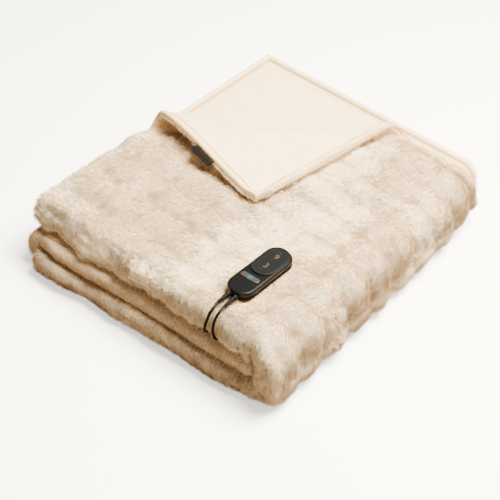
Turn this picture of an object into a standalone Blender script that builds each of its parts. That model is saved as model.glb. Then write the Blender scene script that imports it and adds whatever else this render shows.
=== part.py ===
# Electric heated blanket, folded for storage, with its handset and leads.
# Metres, +Z up. The origin is on the floor under the middle of the folded stack.
# X runs along the front edge, Y from the front edge to the hems at the back.
import math
from collections import namedtuple

import bmesh
import bpy
import numpy as np
from mathutils import Matrix, Vector

MM = 0.001
AIR = 0.3 * MM  # between pieces that touch

# Cloth, measured from the middle of a doubled layer
HALF_GAP = 2.0 * MM  # half of the space between the two fleece faces
HEM_LIFT = 1.2 * MM  # what the sewn hem adds to the fleece
FLEECE_OUT = 5.0 * MM  # the fleece is 3 mm thick
FUR_IN = FLEECE_OUT + AIR
FUR_HEM = 9.5 * MM  # the fur's outer face right at a cut edge
HEM_WIDE = 13.0 * MM
HEM_ROLL = 6.0 * MM

# The stack: bottom, middle and top are doubled layers
LEFT, RIGHT, FRONT = -0.258, 0.281, -0.312
DEEP_BOTTOM = 21.0 * MM  # half thickness of the bottom doubled layer
DEEP_MIDDLE = 17.0 * MM
DEEP = 24.5 * MM  # half thickness of the top doubled layer
DEEP_FACE = 25.0 * MM  # the same on the face that shows
DEEP_TURN = 18.4 * MM  # inside of the tight turn on the left
LAYER_GAP = 1.5 * MM  # between the bottom and the middle layer
LEAD_GAP = 5.2 * MM  # between the middle and the top layer, where the leads go in
BOTTOM_Z = DEEP_BOTTOM
MIDDLE_Z = 2 * DEEP_BOTTOM + LAYER_GAP + DEEP_MIDDLE
TOP_Z = MIDDLE_Z + DEEP_MIDDLE + LEAD_GAP + DEEP
WRAP_REACH = 28.0 * MM  # how far the wrap's middle line bulges, and its corners' radius
WRAP_SPLAY = 9.0 * MM  # the pile spreads where the wrap turns under
WRAP_PUFF = 8.0 * MM  # and at the wrap's front end
WRAP_SQUARE = 7.0 * MM  # and fills the edge of that end
TAPER = 0.018  # the stack narrows towards the back, on the right
SLIP = 10.0 * MM  # the top's lower cloth reaches this much further left at the back
WRAP_X = RIGHT - WRAP_REACH - DEEP_FACE
TURN_X = LEFT - 12.0 * MM + DEEP_BOTTOM + 0.5 * (MIDDLE_Z - BOTTOM_Z)
INNER_END = WRAP_X + 1.0 * MM  # where the middle layer ends, just inside the wrap

# Ribs of the fur, along X on top and round the wrap
RIBS = 9
ROWS_A_RIB = 3
RIB_CREST = 0.9 * MM
RIB_SEAM = -2.4 * MM
WRAP_CREST = 2.0 * MM
WRAP_SEAM = -5.0 * MM
WRAP_SEAM_END = 0.5  # the seams fade out from this far down to the wrap's underside
WRAP_FADE = 0.45
LUMP = 0.8 * MM
LONG_WAVE, SHORT_WAVE = 17.0, 31.0  # radians a metre along X
LONG_SHIFT, SHORT_SHIFT = 2.3, -1.7  # radians from one row to the next

# The corner that is turned back
CORNER = Vector((LEFT, 0.323))
TIP = Vector((0.044, -0.078))
FLAP_EASE = 0.94  # the slack cloth covers this share of its length
FOLD_AXIS = 21.0 * MM  # depth of the line that the corner turns about
FOLD_FUR = 13.0 * MM  # the fur's outer face on the turned corner
FOLD_FADE = 0.045  # the fur thins to that this far before the fold
FOLD_STEPS = 6
FLAP_STEPS = 7
FLAP_END = 0.95  # share of the way to the corner where its round tip starts
TIP_ROUND = 0.035
TIP_HEM = 0.22  # most that a hem takes of the tip's width
TIP_NARROW = 0.8
FLAP_ARCH = 16.0 * MM  # how high the free left edge stands
ARCH_WIDE = 0.085
ARCH_PEAK = 0.8  # under 1 moves the arch's highest place towards the fold
SLIGHT = 0.001  # slack for comparing shares

# Handset
HANDSET = Vector((0.158, -0.202, TOP_Z + DEEP + AIR))
HANDSET_TURN = math.radians(-1.3)
HANDSET_WIDE, HANDSET_LONG = 0.047, 0.122
HANDSET_CORNER = 0.0210
BASE_HIGH, COVER_HIGH = 0.0078, 0.0080
BASE_RIM, COVER_RIM = 0.0035, 0.0032
PLATE_WIDE, PLATE_LONG, PLATE_HIGH = 0.0415, 0.0695, 0.0022
PLATE_CORNER, PLATE_RIM = 0.0195, 0.0008
WINDOW_WIDE, WINDOW_LONG, WINDOW_HIGH = 0.0345, 0.0078, 0.0009
PLATE_Y, WINDOW_Y = 0.0240, -0.0225
CALM_X, CALM_Y = 0.068, 0.085  # the fur is pressed level this far round it
CALM_FADE = 0.030

# Leads
LEAD = 4.2 * MM
LEAD_APART = 0.0130
LEAD_HIGH = 0.0080  # above the handset's underside
LEAD_STRAIGHT = 1.5 * MM
ROUTE_SAMPLES = 24  # between two route points
RELIEF_LONG = 0.0240
RELIEF_THICK, RELIEF_THIN = 4.4 * MM, 2.9 * MM
GAP_Z = 0.5 * (MIDDLE_Z + DEEP_MIDDLE + TOP_Z - DEEP)
FLOOR_Z = 0.5 * LEAD + AIR
LEADS_X, LEADS_WIDE = 0.153, 0.030  # the front of the fur is level behind the leads
LEADS_FADE = 0.050
COIL = Vector((0.010, 0.3535, 0.0))
COIL_RADIUS = 0.0250
COIL_WIDE, COIL_HIGH = 3 * LEAD, 2 * LEAD
COIL_CHAMFER = 1.2 * MM
PLUG = Vector((-0.0830, 0.3480, 0.0))
PLUG_LONG, PLUG_WIDE, PLUG_HIGH = 0.0350, 0.0350, 0.0137
PLUG_CORNER, PLUG_RIM = 0.0080, 0.0025
PLUG_RELIEF, PLUG_RELIEF_THICK = 0.0210, 5.0 * MM
PIN_LONG, PIN_THICK, PIN_APART = 0.0190, 0.0040, 0.0186

# Side label
LABEL_FROM, LABEL_TO = 0.50, 0.66  # share of the flap's free left edge
LABEL_WIDE, LABEL_THICK = 0.0120, 0.0009
LABEL_STAND, LABEL_DROOP = 0.6 * MM, 4.5 * MM
LABEL_STEPS = 5

# Route points of the leads, in metres
MAINS_ROUTE = (
    (0.1515, -0.2975, 0.1393),
    (0.1517, -0.3062, 0.1352),
    (0.1510, -0.3125, 0.1275),
    (0.1488, -0.3150, 0.1165),
    (0.1455, -0.3150, 0.1045),
    (0.1422, -0.3115, 0.0935),
    (0.1395, -0.3030, 0.0850),
    (0.1375, -0.2920, 0.0808),
    (0.1360, -0.2800, GAP_Z),
    (0.1325, -0.2450, GAP_Z),
    (0.1280, -0.1200, GAP_Z),
    (0.1280, 0.0400, GAP_Z),
    (0.1280, 0.2000, GAP_Z),
    (0.1280, 0.2950, GAP_Z),
    (0.1272, 0.3180, 0.0822),
    (0.1250, 0.3340, 0.0745),
    (0.1205, 0.3445, 0.0590),
    (0.1130, 0.3495, 0.0400),
    (0.1020, 0.3510, 0.0220),
    (0.0870, 0.3515, 0.0090),
    (0.0740, 0.3519, 0.0046),
    (0.0665, 0.3530, 0.0030),
    (0.0609, 0.3553, FLOOR_Z),
    (0.0477, 0.3639, FLOOR_Z),
    (0.0398, 0.3690, FLOOR_Z),
)
BLANKET_ROUTE = (
    (0.1642, -0.2985, 0.1393),
    (0.1646, -0.3080, 0.1350),
    (0.1645, -0.3145, 0.1270),
    (0.1643, -0.3175, 0.1160),
    (0.1648, -0.3175, 0.1040),
    (0.1658, -0.3135, 0.0930),
    (0.1670, -0.3040, 0.0848),
    (0.1680, -0.2920, 0.0808),
    (0.1685, -0.2800, GAP_Z),
    (0.1690, -0.2500, GAP_Z),
    (0.1690, -0.2050, GAP_Z),
    (0.1690, -0.1600, GAP_Z),
)
TAIL_ROUTE = (
    (-0.0173, 0.3733, FLOOR_Z),
    (-0.0237, 0.3641, FLOOR_Z),
    (-0.0296, 0.3562, 0.0027),
    (-0.0362, 0.3508, 0.0037),
    (-0.0448, 0.3486, 0.0053),
    (-0.0530, 0.3481, 0.0065),
)

Station = namedtuple(
    "Station", "x z out_x out_z run share front upper_edge lower_edge upper_deep lower_deep"
)
Row = namedtuple("Row", "side share angle rib kept")
Slab = namedtuple("Slab", "name size corner top_rim bottom_rim y z material")
# Where each run of the folded length ends: where its front bend and its two cut
# edges lie in Y, and how deep the fur reaches on its upper and its lower layer.
RunEnd = namedtuple("RunEnd", "front upper_edge lower_edge upper_deep lower_deep")
RUN_ENDS = {
    "free end": RunEnd(-0.300, 0.323, 0.337, DEEP_FACE, DEEP),
    "top": RunEnd(-0.312, 0.240, 0.290, DEEP_FACE, DEEP),
    "wrap": RunEnd(-0.316, 0.286, 0.288, DEEP_BOTTOM, DEEP_BOTTOM),
    "bottom": RunEnd(-0.321, 0.316, 0.318, DEEP_BOTTOM, DEEP_TURN),
    "turn": RunEnd(-0.317, 0.316, 0.314, DEEP_MIDDLE, DEEP_MIDDLE),
    "middle": RunEnd(-0.312, 0.288, 0.286, DEEP_MIDDLE, DEEP_MIDDLE),
}


def clear_scene():
    for item in list(bpy.data.objects):
        bpy.data.objects.remove(item, do_unlink=True)


def collection(name):
    group = bpy.data.collections.new(name)
    bpy.context.scene.collection.children.link(group)
    return group


def finish(name, colour, roughness, metallic=0.0):
    material = bpy.data.materials.new(name)
    material.use_nodes = True
    shader = material.node_tree.nodes["Principled BSDF"]
    shader.inputs["Base Color"].default_value = (*colour, 1.0)
    shader.inputs["Roughness"].default_value = roughness
    shader.inputs["Metallic"].default_value = metallic
    return material


def add_mesh(name, mesh, material, group, smooth_under=40.0):
    mesh.materials.append(material)
    mesh.shade_smooth()
    mesh.set_sharp_from_angle(angle=math.radians(smooth_under))
    item = bpy.data.objects.new(name, mesh)
    group.objects.link(item)
    return item


def ease(value):
    value = min(max(value, 0.0), 1.0)
    return value * value * (3.0 - 2.0 * value)


def mix(a, b, share):
    return a + (b - a) * share


def run_stations(run, before, shares, point):
    # point gives x, z and the outward direction for a share of the run
    start, end = RUN_ENDS[before], RUN_ENDS[run]
    found = []
    for share in shares:
        values = [mix(a, b, share) for a, b in zip(start, end)]
        found.append(Station(*point(share), run, share, *values))
    return found


def flat_run(x_from, x_to, z, out_z):
    return lambda share: (mix(x_from, x_to, share), z, 0.0, out_z)


def wrap_run(share):
    # a quarter turn, a straight stretch down and a quarter turn under
    straight = TOP_Z - BOTTOM_Z - 2 * WRAP_REACH
    quarter = 0.5 * math.pi * WRAP_REACH
    gone = share * (2 * quarter + straight)
    if gone < quarter:
        angle, centre = 0.5 * math.pi - gone / WRAP_REACH, TOP_Z - WRAP_REACH
    elif gone < quarter + straight:
        angle, centre = 0.0, TOP_Z - WRAP_REACH - (gone - quarter)
    else:
        angle, centre = -(gone - quarter - straight) / WRAP_REACH, BOTTOM_Z + WRAP_REACH
    out = Vector((math.cos(angle), math.sin(angle)))
    return WRAP_X + WRAP_REACH * out.x, centre + WRAP_REACH * out.y, out.x, out.y


def turn_run(share):
    # half a circle on the left, from the bottom layer up to the middle one
    radius = 0.5 * (MIDDLE_Z - BOTTOM_Z)
    angle = -math.pi * (0.5 + share)
    out = Vector((math.cos(angle), math.sin(angle)))
    return TURN_X + radius * out.x, BOTTOM_Z + radius + radius * out.y, out.x, out.y


def even(count):
    return [k / count for k in range(1, count + 1)]


def folded_length():
    hem = HEM_ROLL / (WRAP_X - LEFT)
    inner_hem = 1.0 - HEM_ROLL / (INNER_END - TURN_X)
    top = flat_run(LEFT, WRAP_X, TOP_Z, 1.0)
    bottom = flat_run(WRAP_X, TURN_X, BOTTOM_Z, -1.0)
    middle = flat_run(TURN_X, INNER_END, MIDDLE_Z, 1.0)
    return (
        run_stations("top", "free end", [0.0, hem, *even(7)], top)
        + run_stations("wrap", "top", even(9), wrap_run)
        + run_stations("bottom", "wrap", even(4), bottom)
        + run_stations("turn", "bottom", even(6), turn_run)
        + run_stations("middle", "turn", [1 / 3, 2 / 3, inner_hem, 1.0], middle)
    )


def cloth_rows():
    # across the width: upper layer, front bend, lower layer
    across = RIBS * ROWS_A_RIB
    corner = corner_share()
    rows = [Row("upper", 0.0, 0.0, 0.0, True)]
    rows.append(Row("upper", HEM_ROLL / TOP_WIDTH, 0.0, 0.0, True))
    for k in range(1, across + 1):
        rib = 1.0 if k % ROWS_A_RIB == 1 else 0.0
        share = k / across
        kept = share < corner + 0.5 / across or k % 6 == 3 or k == across
        rows.append(Row("upper", share, 0.0, rib, kept))
    nearest = min(range(len(rows)), key=lambda j: abs(rows[j].share - corner))
    rows[nearest] = rows[nearest]._replace(share=corner, kept=True)
    for share in even(7):
        rows.append(Row("bend", 1.0, math.pi * share, 0.0, True))
    for share in [*even(4)[:-1], 1.0 - HEM_ROLL / TOP_WIDTH, 1.0]:
        rows.append(Row("lower", share, math.pi, 0.0, True))
    return rows, nearest


def bend_y(station):
    # where the flat of a layer ends and its front bend starts
    return station.front + 0.5 * (station.upper_deep + station.lower_deep)


TOP_WIDTH = RUN_ENDS["free end"].upper_edge - bend_y(RUN_ENDS["free end"])


# The turned corner: a line across the top layer, and a half turn about it
def fold_line():
    way = (CORNER - TIP).normalized()
    turn = math.pi * (FOLD_AXIS - FLEECE_OUT)
    reach = ((CORNER - TIP).length + FLAP_EASE * turn) / (1.0 + FLAP_EASE)
    middle = CORNER - reach * way
    along = Vector((way.y, -way.x))
    left = middle + along * ((LEFT - middle.x) / along.x)
    end = RUN_ENDS["top"]
    slope = (end.upper_edge - CORNER.y) / (WRAP_X - LEFT)
    step = (CORNER.y + slope * (middle.x - LEFT) - middle.y) / (along.y - slope * along.x)
    return way, reach, left, middle + along * step


WAY, REACH, FOLD_LEFT, FOLD_RIGHT = fold_line()


def corner_share():
    return (CORNER.y - FOLD_LEFT.y) / TOP_WIDTH


def upper_plan(station, row):
    # where a point of the top layer's upper cloth lies, seen from above
    corner = corner_share()
    end = RUN_ENDS["top"]
    right = Vector((WRAP_X, mix(end.upper_edge, bend_y(end), row.share)))
    if row.share < corner:
        left = FOLD_RIGHT.lerp(FOLD_LEFT, row.share / corner)
    else:
        left = Vector((LEFT, CORNER.y - TOP_WIDTH * row.share))
    return left.lerp(right, station.share)


def cloth_point(station, row, depth):
    y = mix(station.upper_edge, bend_y(station), row.share)
    x, out = station.x, depth
    if row.side == "upper" and station.run == "top":
        x, y = upper_plan(station, row)
    elif row.side == "bend":
        y = bend_y(station) - depth * math.sin(row.angle)
        out = depth * math.cos(row.angle)
    elif row.side == "lower":
        y = mix(bend_y(station), station.lower_edge, row.share)
        out = -depth
        if station.run == "top":
            x -= SLIP * row.share * (1.0 - station.share)
    x += out * station.out_x
    x -= TAPER * (y - FRONT) * max(0.0, (x - LEFT) / (RIGHT - LEFT))
    return Vector((x, y, station.z + out * station.out_z))


def flap_plan(reached, row, rows, corner):
    # a line of the flap is parallel to the fold and shrinks towards the corner, and
    # its two hems keep their width
    length = (FOLD_RIGHT - FOLD_LEFT).length * (1.0 - reached)
    hem = min(HEM_WIDE / max(length, HEM_WIDE), TIP_HEM)
    along = row / corner
    if 0 < row < corner:
        along = mix(hem, 1.0 - hem, (row - 1) / (corner - 2))
    if reached >= FLAP_END:
        reached += TIP_ROUND * (1.0 - (2.0 * along - 1.0) ** 2)
        along = mix(0.5, along, TIP_NARROW)
    return FOLD_RIGHT.lerp(CORNER, reached).lerp(FOLD_LEFT.lerp(CORNER, reached), along)


def flap_arch(plan):
    # the free left edge stands up, most of all a third of the way to the tip
    side = (CORNER - FOLD_LEFT).normalized()
    inward = abs((plan - FOLD_LEFT).cross(side))
    along = (plan - FOLD_LEFT).dot(side) / (CORNER - FOLD_LEFT).length
    rise = math.sin(math.pi * min(max(along, 0.0), 1.0) ** ARCH_PEAK) ** 2
    return FLAP_ARCH * rise * math.exp(-((inward / ARCH_WIDE) ** 2))


def flap_point(plan, depth):
    past = (plan - FOLD_LEFT).dot(WAY)
    base = plan - past * WAY
    radius = FOLD_AXIS - depth
    turn = FOLD_AXIS - FLEECE_OUT
    angle = min(past / turn, math.pi)
    flat = FLAP_EASE * max(past - math.pi * turn, 0.0)
    place = base + WAY * (radius * math.sin(angle) - flat)
    high = TOP_Z + FOLD_AXIS - radius * math.cos(angle) + flap_arch(plan) * ease(angle / math.pi)
    return Vector((place.x, place.y, high))


def edge_round(depth, distance):
    # the pile rounds down to a cut edge
    if distance > HEM_WIDE:
        return depth
    share = math.sqrt(1.0 - (1.0 - max(distance, 0.0) / HEM_WIDE) ** 2)
    return mix(min(FUR_HEM, depth), depth, share)


def edge_distance(station, row):
    upper = row.side == "upper"
    across = row.share if upper else 1.0 - row.share
    width = station.upper_edge - bend_y(station)
    distance = across * width if row.side != "bend" else 1.0
    if station.run == "top" and (not upper or row.share >= corner_share() - SLIGHT):
        distance = min(distance, station.x - LEFT)
    if station.run == "middle":
        distance = min(distance, INNER_END - station.x)
    return distance


def top_relief(row, place, lump):
    # level under the handset, thin beside the fold, ribbed elsewhere
    aside = max(abs(place.x - HANDSET.x) - CALM_X, abs(place.y - HANDSET.y) - CALM_Y)
    ribbed = (RIB_SEAM * (1.0 + lump / LUMP * 0.5) if row.rib else RIB_CREST) + lump
    pressed = mix(DEEP - DEEP_FACE, ribbed, ease(aside / CALM_FADE))
    if row.share >= corner_share() - SLIGHT:
        return pressed
    before_fold = (Vector(place.xy) - FOLD_LEFT).dot(-WAY)
    return mix(FOLD_FUR - DEEP_FACE, pressed, ease(before_fold / FOLD_FADE))


def wrap_relief(station, row, lump):
    # deep ribs on the right that fade out underneath, and a full front end
    under = min(max(-station.out_z, 0.0), 1.0)
    spread = WRAP_SPLAY * math.sin(math.pi * under)
    if row.side == "upper":
        ribbed = (WRAP_SEAM if row.rib else WRAP_CREST) + lump
        return spread + ribbed * (1.0 - ease((under - WRAP_SEAM_END) / WRAP_FADE))
    facing, ahead = max(math.cos(row.angle), 0.0), math.sin(row.angle)
    full = WRAP_SQUARE * (2.0 * facing * ahead) ** 2 + WRAP_PUFF * ahead
    return spread * facing + full * station.out_x


def fur_relief(station, row, place, number):
    # ribs and soft lumps on the faces that show
    wave = math.sin(LONG_WAVE * place.x + LONG_SHIFT * number)
    wave += math.sin(SHORT_WAVE * place.x + SHORT_SHIFT * number)
    lump = 0.5 * LUMP * wave
    if row.side == "lower":
        return 0.0
    if station.run == "wrap":
        return wrap_relief(station, row, lump)
    if row.side == "bend":
        beside = ease((abs(place.x - LEADS_X) - LEADS_WIDE) / LEADS_FADE)
        return 3.0 * lump * beside * math.sin(row.angle)
    if station.run == "top":
        return top_relief(row, place, lump)
    return lump * max(0.0, -station.out_x) if station.run == "turn" else 0.0


def fur_depth(station, row, number):
    angle = row.angle / math.pi
    deep = mix(station.upper_deep, station.lower_deep, angle)
    place = cloth_point(station, row, deep)
    deep += fur_relief(station, row, place, number)
    return edge_round(deep, edge_distance(station, row))


def fleece_depth(station, row):
    hem = edge_distance(station, row) <= HEM_WIDE
    return HALF_GAP - (HEM_LIFT if hem else 0.0)


def flap_shares():
    turn = math.pi * (FOLD_AXIS - FLEECE_OUT) / REACH
    bent = [turn * k / FOLD_STEPS for k in range(1, FOLD_STEPS + 1)]
    flat = [mix(turn, FLAP_END, k / FLAP_STEPS) for k in range(1, FLAP_STEPS + 1)]
    return bent + flat


def sheet_solid(name, rows, corner, stations, face, material, group):
    # face(column, row) gives the outer and the inner point. Columns below zero are
    # the flap's rows, which start at the fold line.
    flap = flap_shares()
    spots, outer, inner = {}, [], []
    for column in range(-len(flap), len(stations)):
        for row in range(corner + 1 if column < 0 else len(rows)):
            spots[column, row] = len(outer)
            points = face(column, row)
            outer.append(points[0])
            inner.append(points[1])
    count = len(outer)
    faces, edges = [], {}
    for (column, row), first in spots.items():
        ring = [(column, row), (column + 1, row), (column + 1, row + 1), (column, row + 1)]
        if not all(spot in spots for spot in ring):
            continue
        ids = [spots[spot] for spot in ring]
        faces.append(ids)
        faces.append([k + count for k in reversed(ids)])
        for a, b in zip(ids, ids[1:] + ids[:1]):
            edges[a, b] = edges.get((b, a), 0)
            if (b, a) in edges:
                edges.pop((a, b))
                edges.pop((b, a))
    for a, b in edges:
        faces.append([b, a, a + count, b + count])
    mesh = bpy.data.meshes.new(name)
    mesh.from_pydata([tuple(p) for p in outer + inner], [], faces)
    work = bmesh.new()
    work.from_mesh(mesh)
    bmesh.ops.triangulate(work, faces=work.faces)
    bmesh.ops.recalc_face_normals(work, faces=work.faces)
    if work.calc_volume(signed=True) < 0:
        bmesh.ops.reverse_faces(work, faces=work.faces)
    work.to_mesh(mesh)
    work.free()
    return add_mesh(name, mesh, material, group)


def build_cloth(group):
    stations = folded_length()
    rows, corner = cloth_rows()
    shares = flap_shares()
    kept = [row for row in rows if row.kept]
    kept_corner = kept.index(rows[corner])

    def flap_edge(column, row, last):
        if column == -len(shares):
            return 0.0
        return 0.0 if row in (0, last) else (HEM_ROLL if row in (1, last - 1) else 1.0)

    def fur_face(column, row):
        if column >= 0:
            deep = fur_depth(stations[column], rows[row], row)
            return [cloth_point(stations[column], rows[row], d) for d in (deep, FUR_IN)]
        plan = flap_plan(shares[-column - 1], row, rows, corner)
        deep = edge_round(FOLD_FUR, flap_edge(column, row, corner))
        return [flap_point(plan, d) for d in (deep, FUR_IN)]

    def fleece_face(column, row):
        if column >= 0:
            deep = fleece_depth(stations[column], kept[row])
            return [cloth_point(stations[column], kept[row], d) for d in (FLEECE_OUT, deep)]
        plan = flap_plan(shares[-column - 1], row, kept, kept_corner)
        hem = flap_edge(column, row, kept_corner) < HEM_WIDE
        deep = HALF_GAP - (HEM_LIFT if hem else 0.0)
        return [flap_point(plan, d) for d in (FLEECE_OUT, deep)]

    fur = finish("faux fur", (0.80, 0.70, 0.58), 0.9)
    fleece = finish("fleece", (0.86, 0.80, 0.70), 0.9)
    sheet_solid("fur_face", rows, corner, stations, fur_face, fur, group)
    sheet_solid("fleece_back", kept, kept_corner, stations, fleece_face, fleece, group)


def build_label(group):
    # a woven tab sewn into the hem of the flap's free left edge
    shares = [mix(LABEL_FROM, LABEL_TO, k / LABEL_STEPS) for k in range(LABEL_STEPS + 1)]
    edge = [flap_point(FOLD_LEFT.lerp(CORNER, share), FLEECE_OUT) for share in shares]
    along = (edge[-1] - edge[0]).normalized()
    outward = Vector((along.y, -along.x, 0.0)).normalized()
    work = bmesh.new()
    rings = []
    for point in edge:
        ring = []
        for reach in (0.0, 0.5, 1.0):
            droop = Vector((0.0, 0.0, LABEL_DROOP * reach**2))
            ring.append(point + outward * (LABEL_STAND + LABEL_WIDE * reach) - droop)
        ring += [p - Vector((0, 0, LABEL_THICK)) for p in reversed(ring)]
        rings.append([work.verts.new(p) for p in ring])
    for one, two in zip(rings, rings[1:]):
        for k in range(len(one)):
            m = (k + 1) % len(one)
            work.faces.new((one[k], one[m], two[m], two[k]))
    work.faces.new(rings[0])
    work.faces.new(reversed(rings[-1]))
    bmesh.ops.recalc_face_normals(work, faces=work.faces)
    mesh = bpy.data.meshes.new("side_label")
    work.to_mesh(mesh)
    work.free()
    return add_mesh("side_label", mesh, finish("woven label", (0.13, 0.10, 0.08), 0.8), group)


def rounded_slab(name, size, corner, top_edge, bottom_edge, material, group):
    # a box with its upright edges, then its top and bottom rims, rounded
    work = bmesh.new()
    bmesh.ops.create_cube(work, size=1.0)
    bmesh.ops.scale(work, vec=size, verts=work.verts)
    bmesh.ops.translate(work, vec=(0.0, 0.0, 0.5 * size[2]), verts=work.verts)
    upright = [e for e in work.edges if abs(e.verts[0].co.z - e.verts[1].co.z) > 0.5 * size[2]]
    round_edges(work, upright, corner, 6)
    for height, radius in ((size[2], top_edge), (0.0, bottom_edge)):
        if radius:
            level = [e for e in work.edges if all(abs(v.co.z - height) < 1e-6 for v in e.verts)]
            round_edges(work, level, radius, 2)
    mesh = bpy.data.meshes.new(name)
    work.to_mesh(mesh)
    work.free()
    return add_mesh(name, mesh, material, group, 30.0)


def round_edges(work, edges, radius, steps):
    bmesh.ops.bevel(
        work, geom=edges, offset=radius, segments=steps, profile=0.5, affect="EDGES",
        offset_type="OFFSET", clamp_overlap=True,
    )


def build_handset(group):
    place = bpy.data.objects.new("handset_place", None)
    group.objects.link(place)
    place.location = HANDSET
    place.rotation_euler = (0.0, 0.0, HANDSET_TURN)
    shell = finish("satin plastic", (0.045, 0.040, 0.038), 0.35)
    matte = finish("matte plastic", (0.055, 0.052, 0.050), 0.55)
    smoked = finish("smoked window", (0.30, 0.31, 0.32), 0.25)
    cover_z = BASE_HIGH + AIR
    top_z = cover_z + COVER_HIGH + AIR
    outline = (HANDSET_WIDE, HANDSET_LONG)
    plate = (PLATE_WIDE, PLATE_LONG, PLATE_HIGH)
    window = (WINDOW_WIDE, WINDOW_LONG, WINDOW_HIGH)
    slabs = (
        Slab("handset_base", (*outline, BASE_HIGH), HANDSET_CORNER, 0.0, BASE_RIM, 0.0, 0.0, shell),
        Slab(
            "handset_cover", (*outline, COVER_HIGH), HANDSET_CORNER, COVER_RIM, 0.0, 0.0, cover_z, shell
        ),
        Slab("control_plate", plate, PLATE_CORNER, PLATE_RIM, 0.0, PLATE_Y, top_z, matte),
        Slab("status_window", window, 0.5 * WINDOW_LONG, 0.0, 0.0, WINDOW_Y, top_z, smoked),
    )
    for slab in slabs:
        item = rounded_slab(*slab[:5], slab.material, group)
        item.parent = place
        item.location = (0.0, slab.y, slab.z)


def relief(name, start, way, length, thick, thin, material, group):
    # a turned boot: a collar, two grip ridges and a taper, closed at both ends
    profile = (
        (0.0, 0.0), (thick, 0.0), (thick, 0.22), (mix(thick, thin, 0.35), 0.26),
        (mix(thick, thin, 0.4), 0.48), (mix(thick, thin, 0.7), 0.52),
        (mix(thick, thin, 0.75), 0.74), (thin, 0.78), (thin, 1.0), (0.0, 1.0),
    )
    mesh = bpy.data.meshes.new(name)
    work = bmesh.new()
    points = [work.verts.new((radius, 0.0, share * length)) for radius, share in profile]
    edges = [work.edges.new(pair) for pair in zip(points, points[1:])]
    bmesh.ops.spin(
        work, geom=points + edges, cent=(0, 0, 0), axis=(0, 0, 1), angle=2 * math.pi, steps=12
    )
    bmesh.ops.remove_doubles(work, verts=work.verts, dist=1e-6)
    bmesh.ops.recalc_face_normals(work, faces=work.faces)
    work.to_mesh(mesh)
    work.free()
    item = add_mesh(name, mesh, material, group)
    item.location = start
    item.rotation_euler = Vector(way).to_track_quat("Z", "Y").to_euler()
    return item


def smooth_route(points, spacing):
    # a smooth curve through the route's points, read off at even spacing after a
    # short straight start
    knots = [Vector(p) for p in points]
    knots = [2 * knots[0] - knots[1], *knots, 2 * knots[-1] - knots[-2]]
    fine = []
    for a, b, c, d in zip(knots, knots[1:], knots[2:], knots[3:]):
        for k in range(ROUTE_SAMPLES):
            t = k / ROUTE_SAMPLES
            square = (2 * a - 5 * b + 4 * c - d) * t**2
            cube = (3 * b - a - 3 * c + d) * t**3
            fine.append(0.5 * (2 * b + (c - a) * t + square + cube))
    fine.append(knots[-2])
    gone = [0.0, *np.cumsum([(b - a).length for a, b in zip(fine, fine[1:])])]
    straight = gone[ROUTE_SAMPLES]
    count = max(2, round((gone[-1] - straight) / spacing))
    wanted = [0.0, *np.linspace(straight, gone[-1], count + 1)]
    return [[float(np.interp(w, gone, [p[k] for p in fine])) for k in range(3)] for w in wanted]


def lead(name, points, spacing, material, group):
    curve = bpy.data.curves.new(name, "CURVE")
    curve.dimensions = "3D"
    curve.bevel_depth = 0.5 * LEAD
    curve.bevel_resolution = 2
    curve.use_fill_caps = True
    spline = curve.splines.new("POLY")
    route = smooth_route(points, spacing)
    spline.points.add(len(route) - 1)
    for spot, point in zip(spline.points, route):
        spot.co = (*point, 1.0)
    curve.materials.append(material)
    item = bpy.data.objects.new(name, curve)
    group.objects.link(item)
    return item


def handset_spot(x, y, z):
    return HANDSET + Matrix.Rotation(HANDSET_TURN, 3, "Z") @ Vector((x, y, z))


def build_coil(group, material):
    # the wound turns' outer shape, turned about the coil's middle
    profile = bmesh.new()
    half = 0.5 * COIL_WIDE
    inside, outside, low, high = COIL_RADIUS - half, COIL_RADIUS + half, AIR, AIR + COIL_HIGH
    section = (
        (inside, low + COIL_CHAMFER), (inside + COIL_CHAMFER, low),
        (outside - COIL_CHAMFER, low), (outside, low + COIL_CHAMFER),
        (outside, high - COIL_CHAMFER), (outside - COIL_CHAMFER, high),
        (inside + COIL_CHAMFER, high), (inside, high - COIL_CHAMFER),
    )
    points = [profile.verts.new((x, 0.0, z)) for x, z in section]
    edges = [profile.edges.new(pair) for pair in zip(points, points[1:] + points[:1])]
    bmesh.ops.spin(
        profile, geom=points + edges, cent=(0, 0, 0), axis=(0, 0, 1), angle=2 * math.pi, steps=28
    )
    bmesh.ops.remove_doubles(profile, verts=profile.verts, dist=1e-6)
    bmesh.ops.recalc_face_normals(profile, faces=profile.faces)
    mesh = bpy.data.meshes.new("lead_coil")
    profile.to_mesh(mesh)
    profile.free()
    item = add_mesh("lead_coil", mesh, material, group)
    item.location = COIL


def build_plug(group, material):
    size = (PLUG_LONG, PLUG_WIDE, PLUG_HIGH)
    body = rounded_slab("plug_body", size, PLUG_CORNER, PLUG_RIM, PLUG_RIM, material, group)
    body.location = PLUG - Vector((0.5 * PLUG_LONG, 0.0, 0.0))
    metal = finish("plug pins", (0.75, 0.72, 0.66), 0.25, 1.0)
    for number, side in enumerate((-1, 1), 1):
        bpy.ops.mesh.primitive_cylinder_add(vertices=14, radius=0.5 * PIN_THICK, depth=PIN_LONG)
        pin = bpy.context.object
        pin.name = f"plug_pin_{number}"
        pin.rotation_euler = (0.0, math.radians(90.0), 0.0)
        reach = PLUG_LONG + AIR + 0.5 * PIN_LONG
        pin.location = PLUG + Vector((-reach, 0.5 * side * PIN_APART, 0.5 * PLUG_HIGH))
        pin.data.materials.append(metal)
        for holder in list(pin.users_collection):
            holder.objects.unlink(pin)
        group.objects.link(pin)
    start = PLUG + Vector((AIR, 0.0, 0.5 * PLUG_HIGH))
    boot = (PLUG_RELIEF, PLUG_RELIEF_THICK, RELIEF_THIN)
    relief("plug_relief", start, (1, 0, 0), *boot, material, group)
    return start + Vector((PLUG_RELIEF + AIR, 0.0, 0.0))


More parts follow.
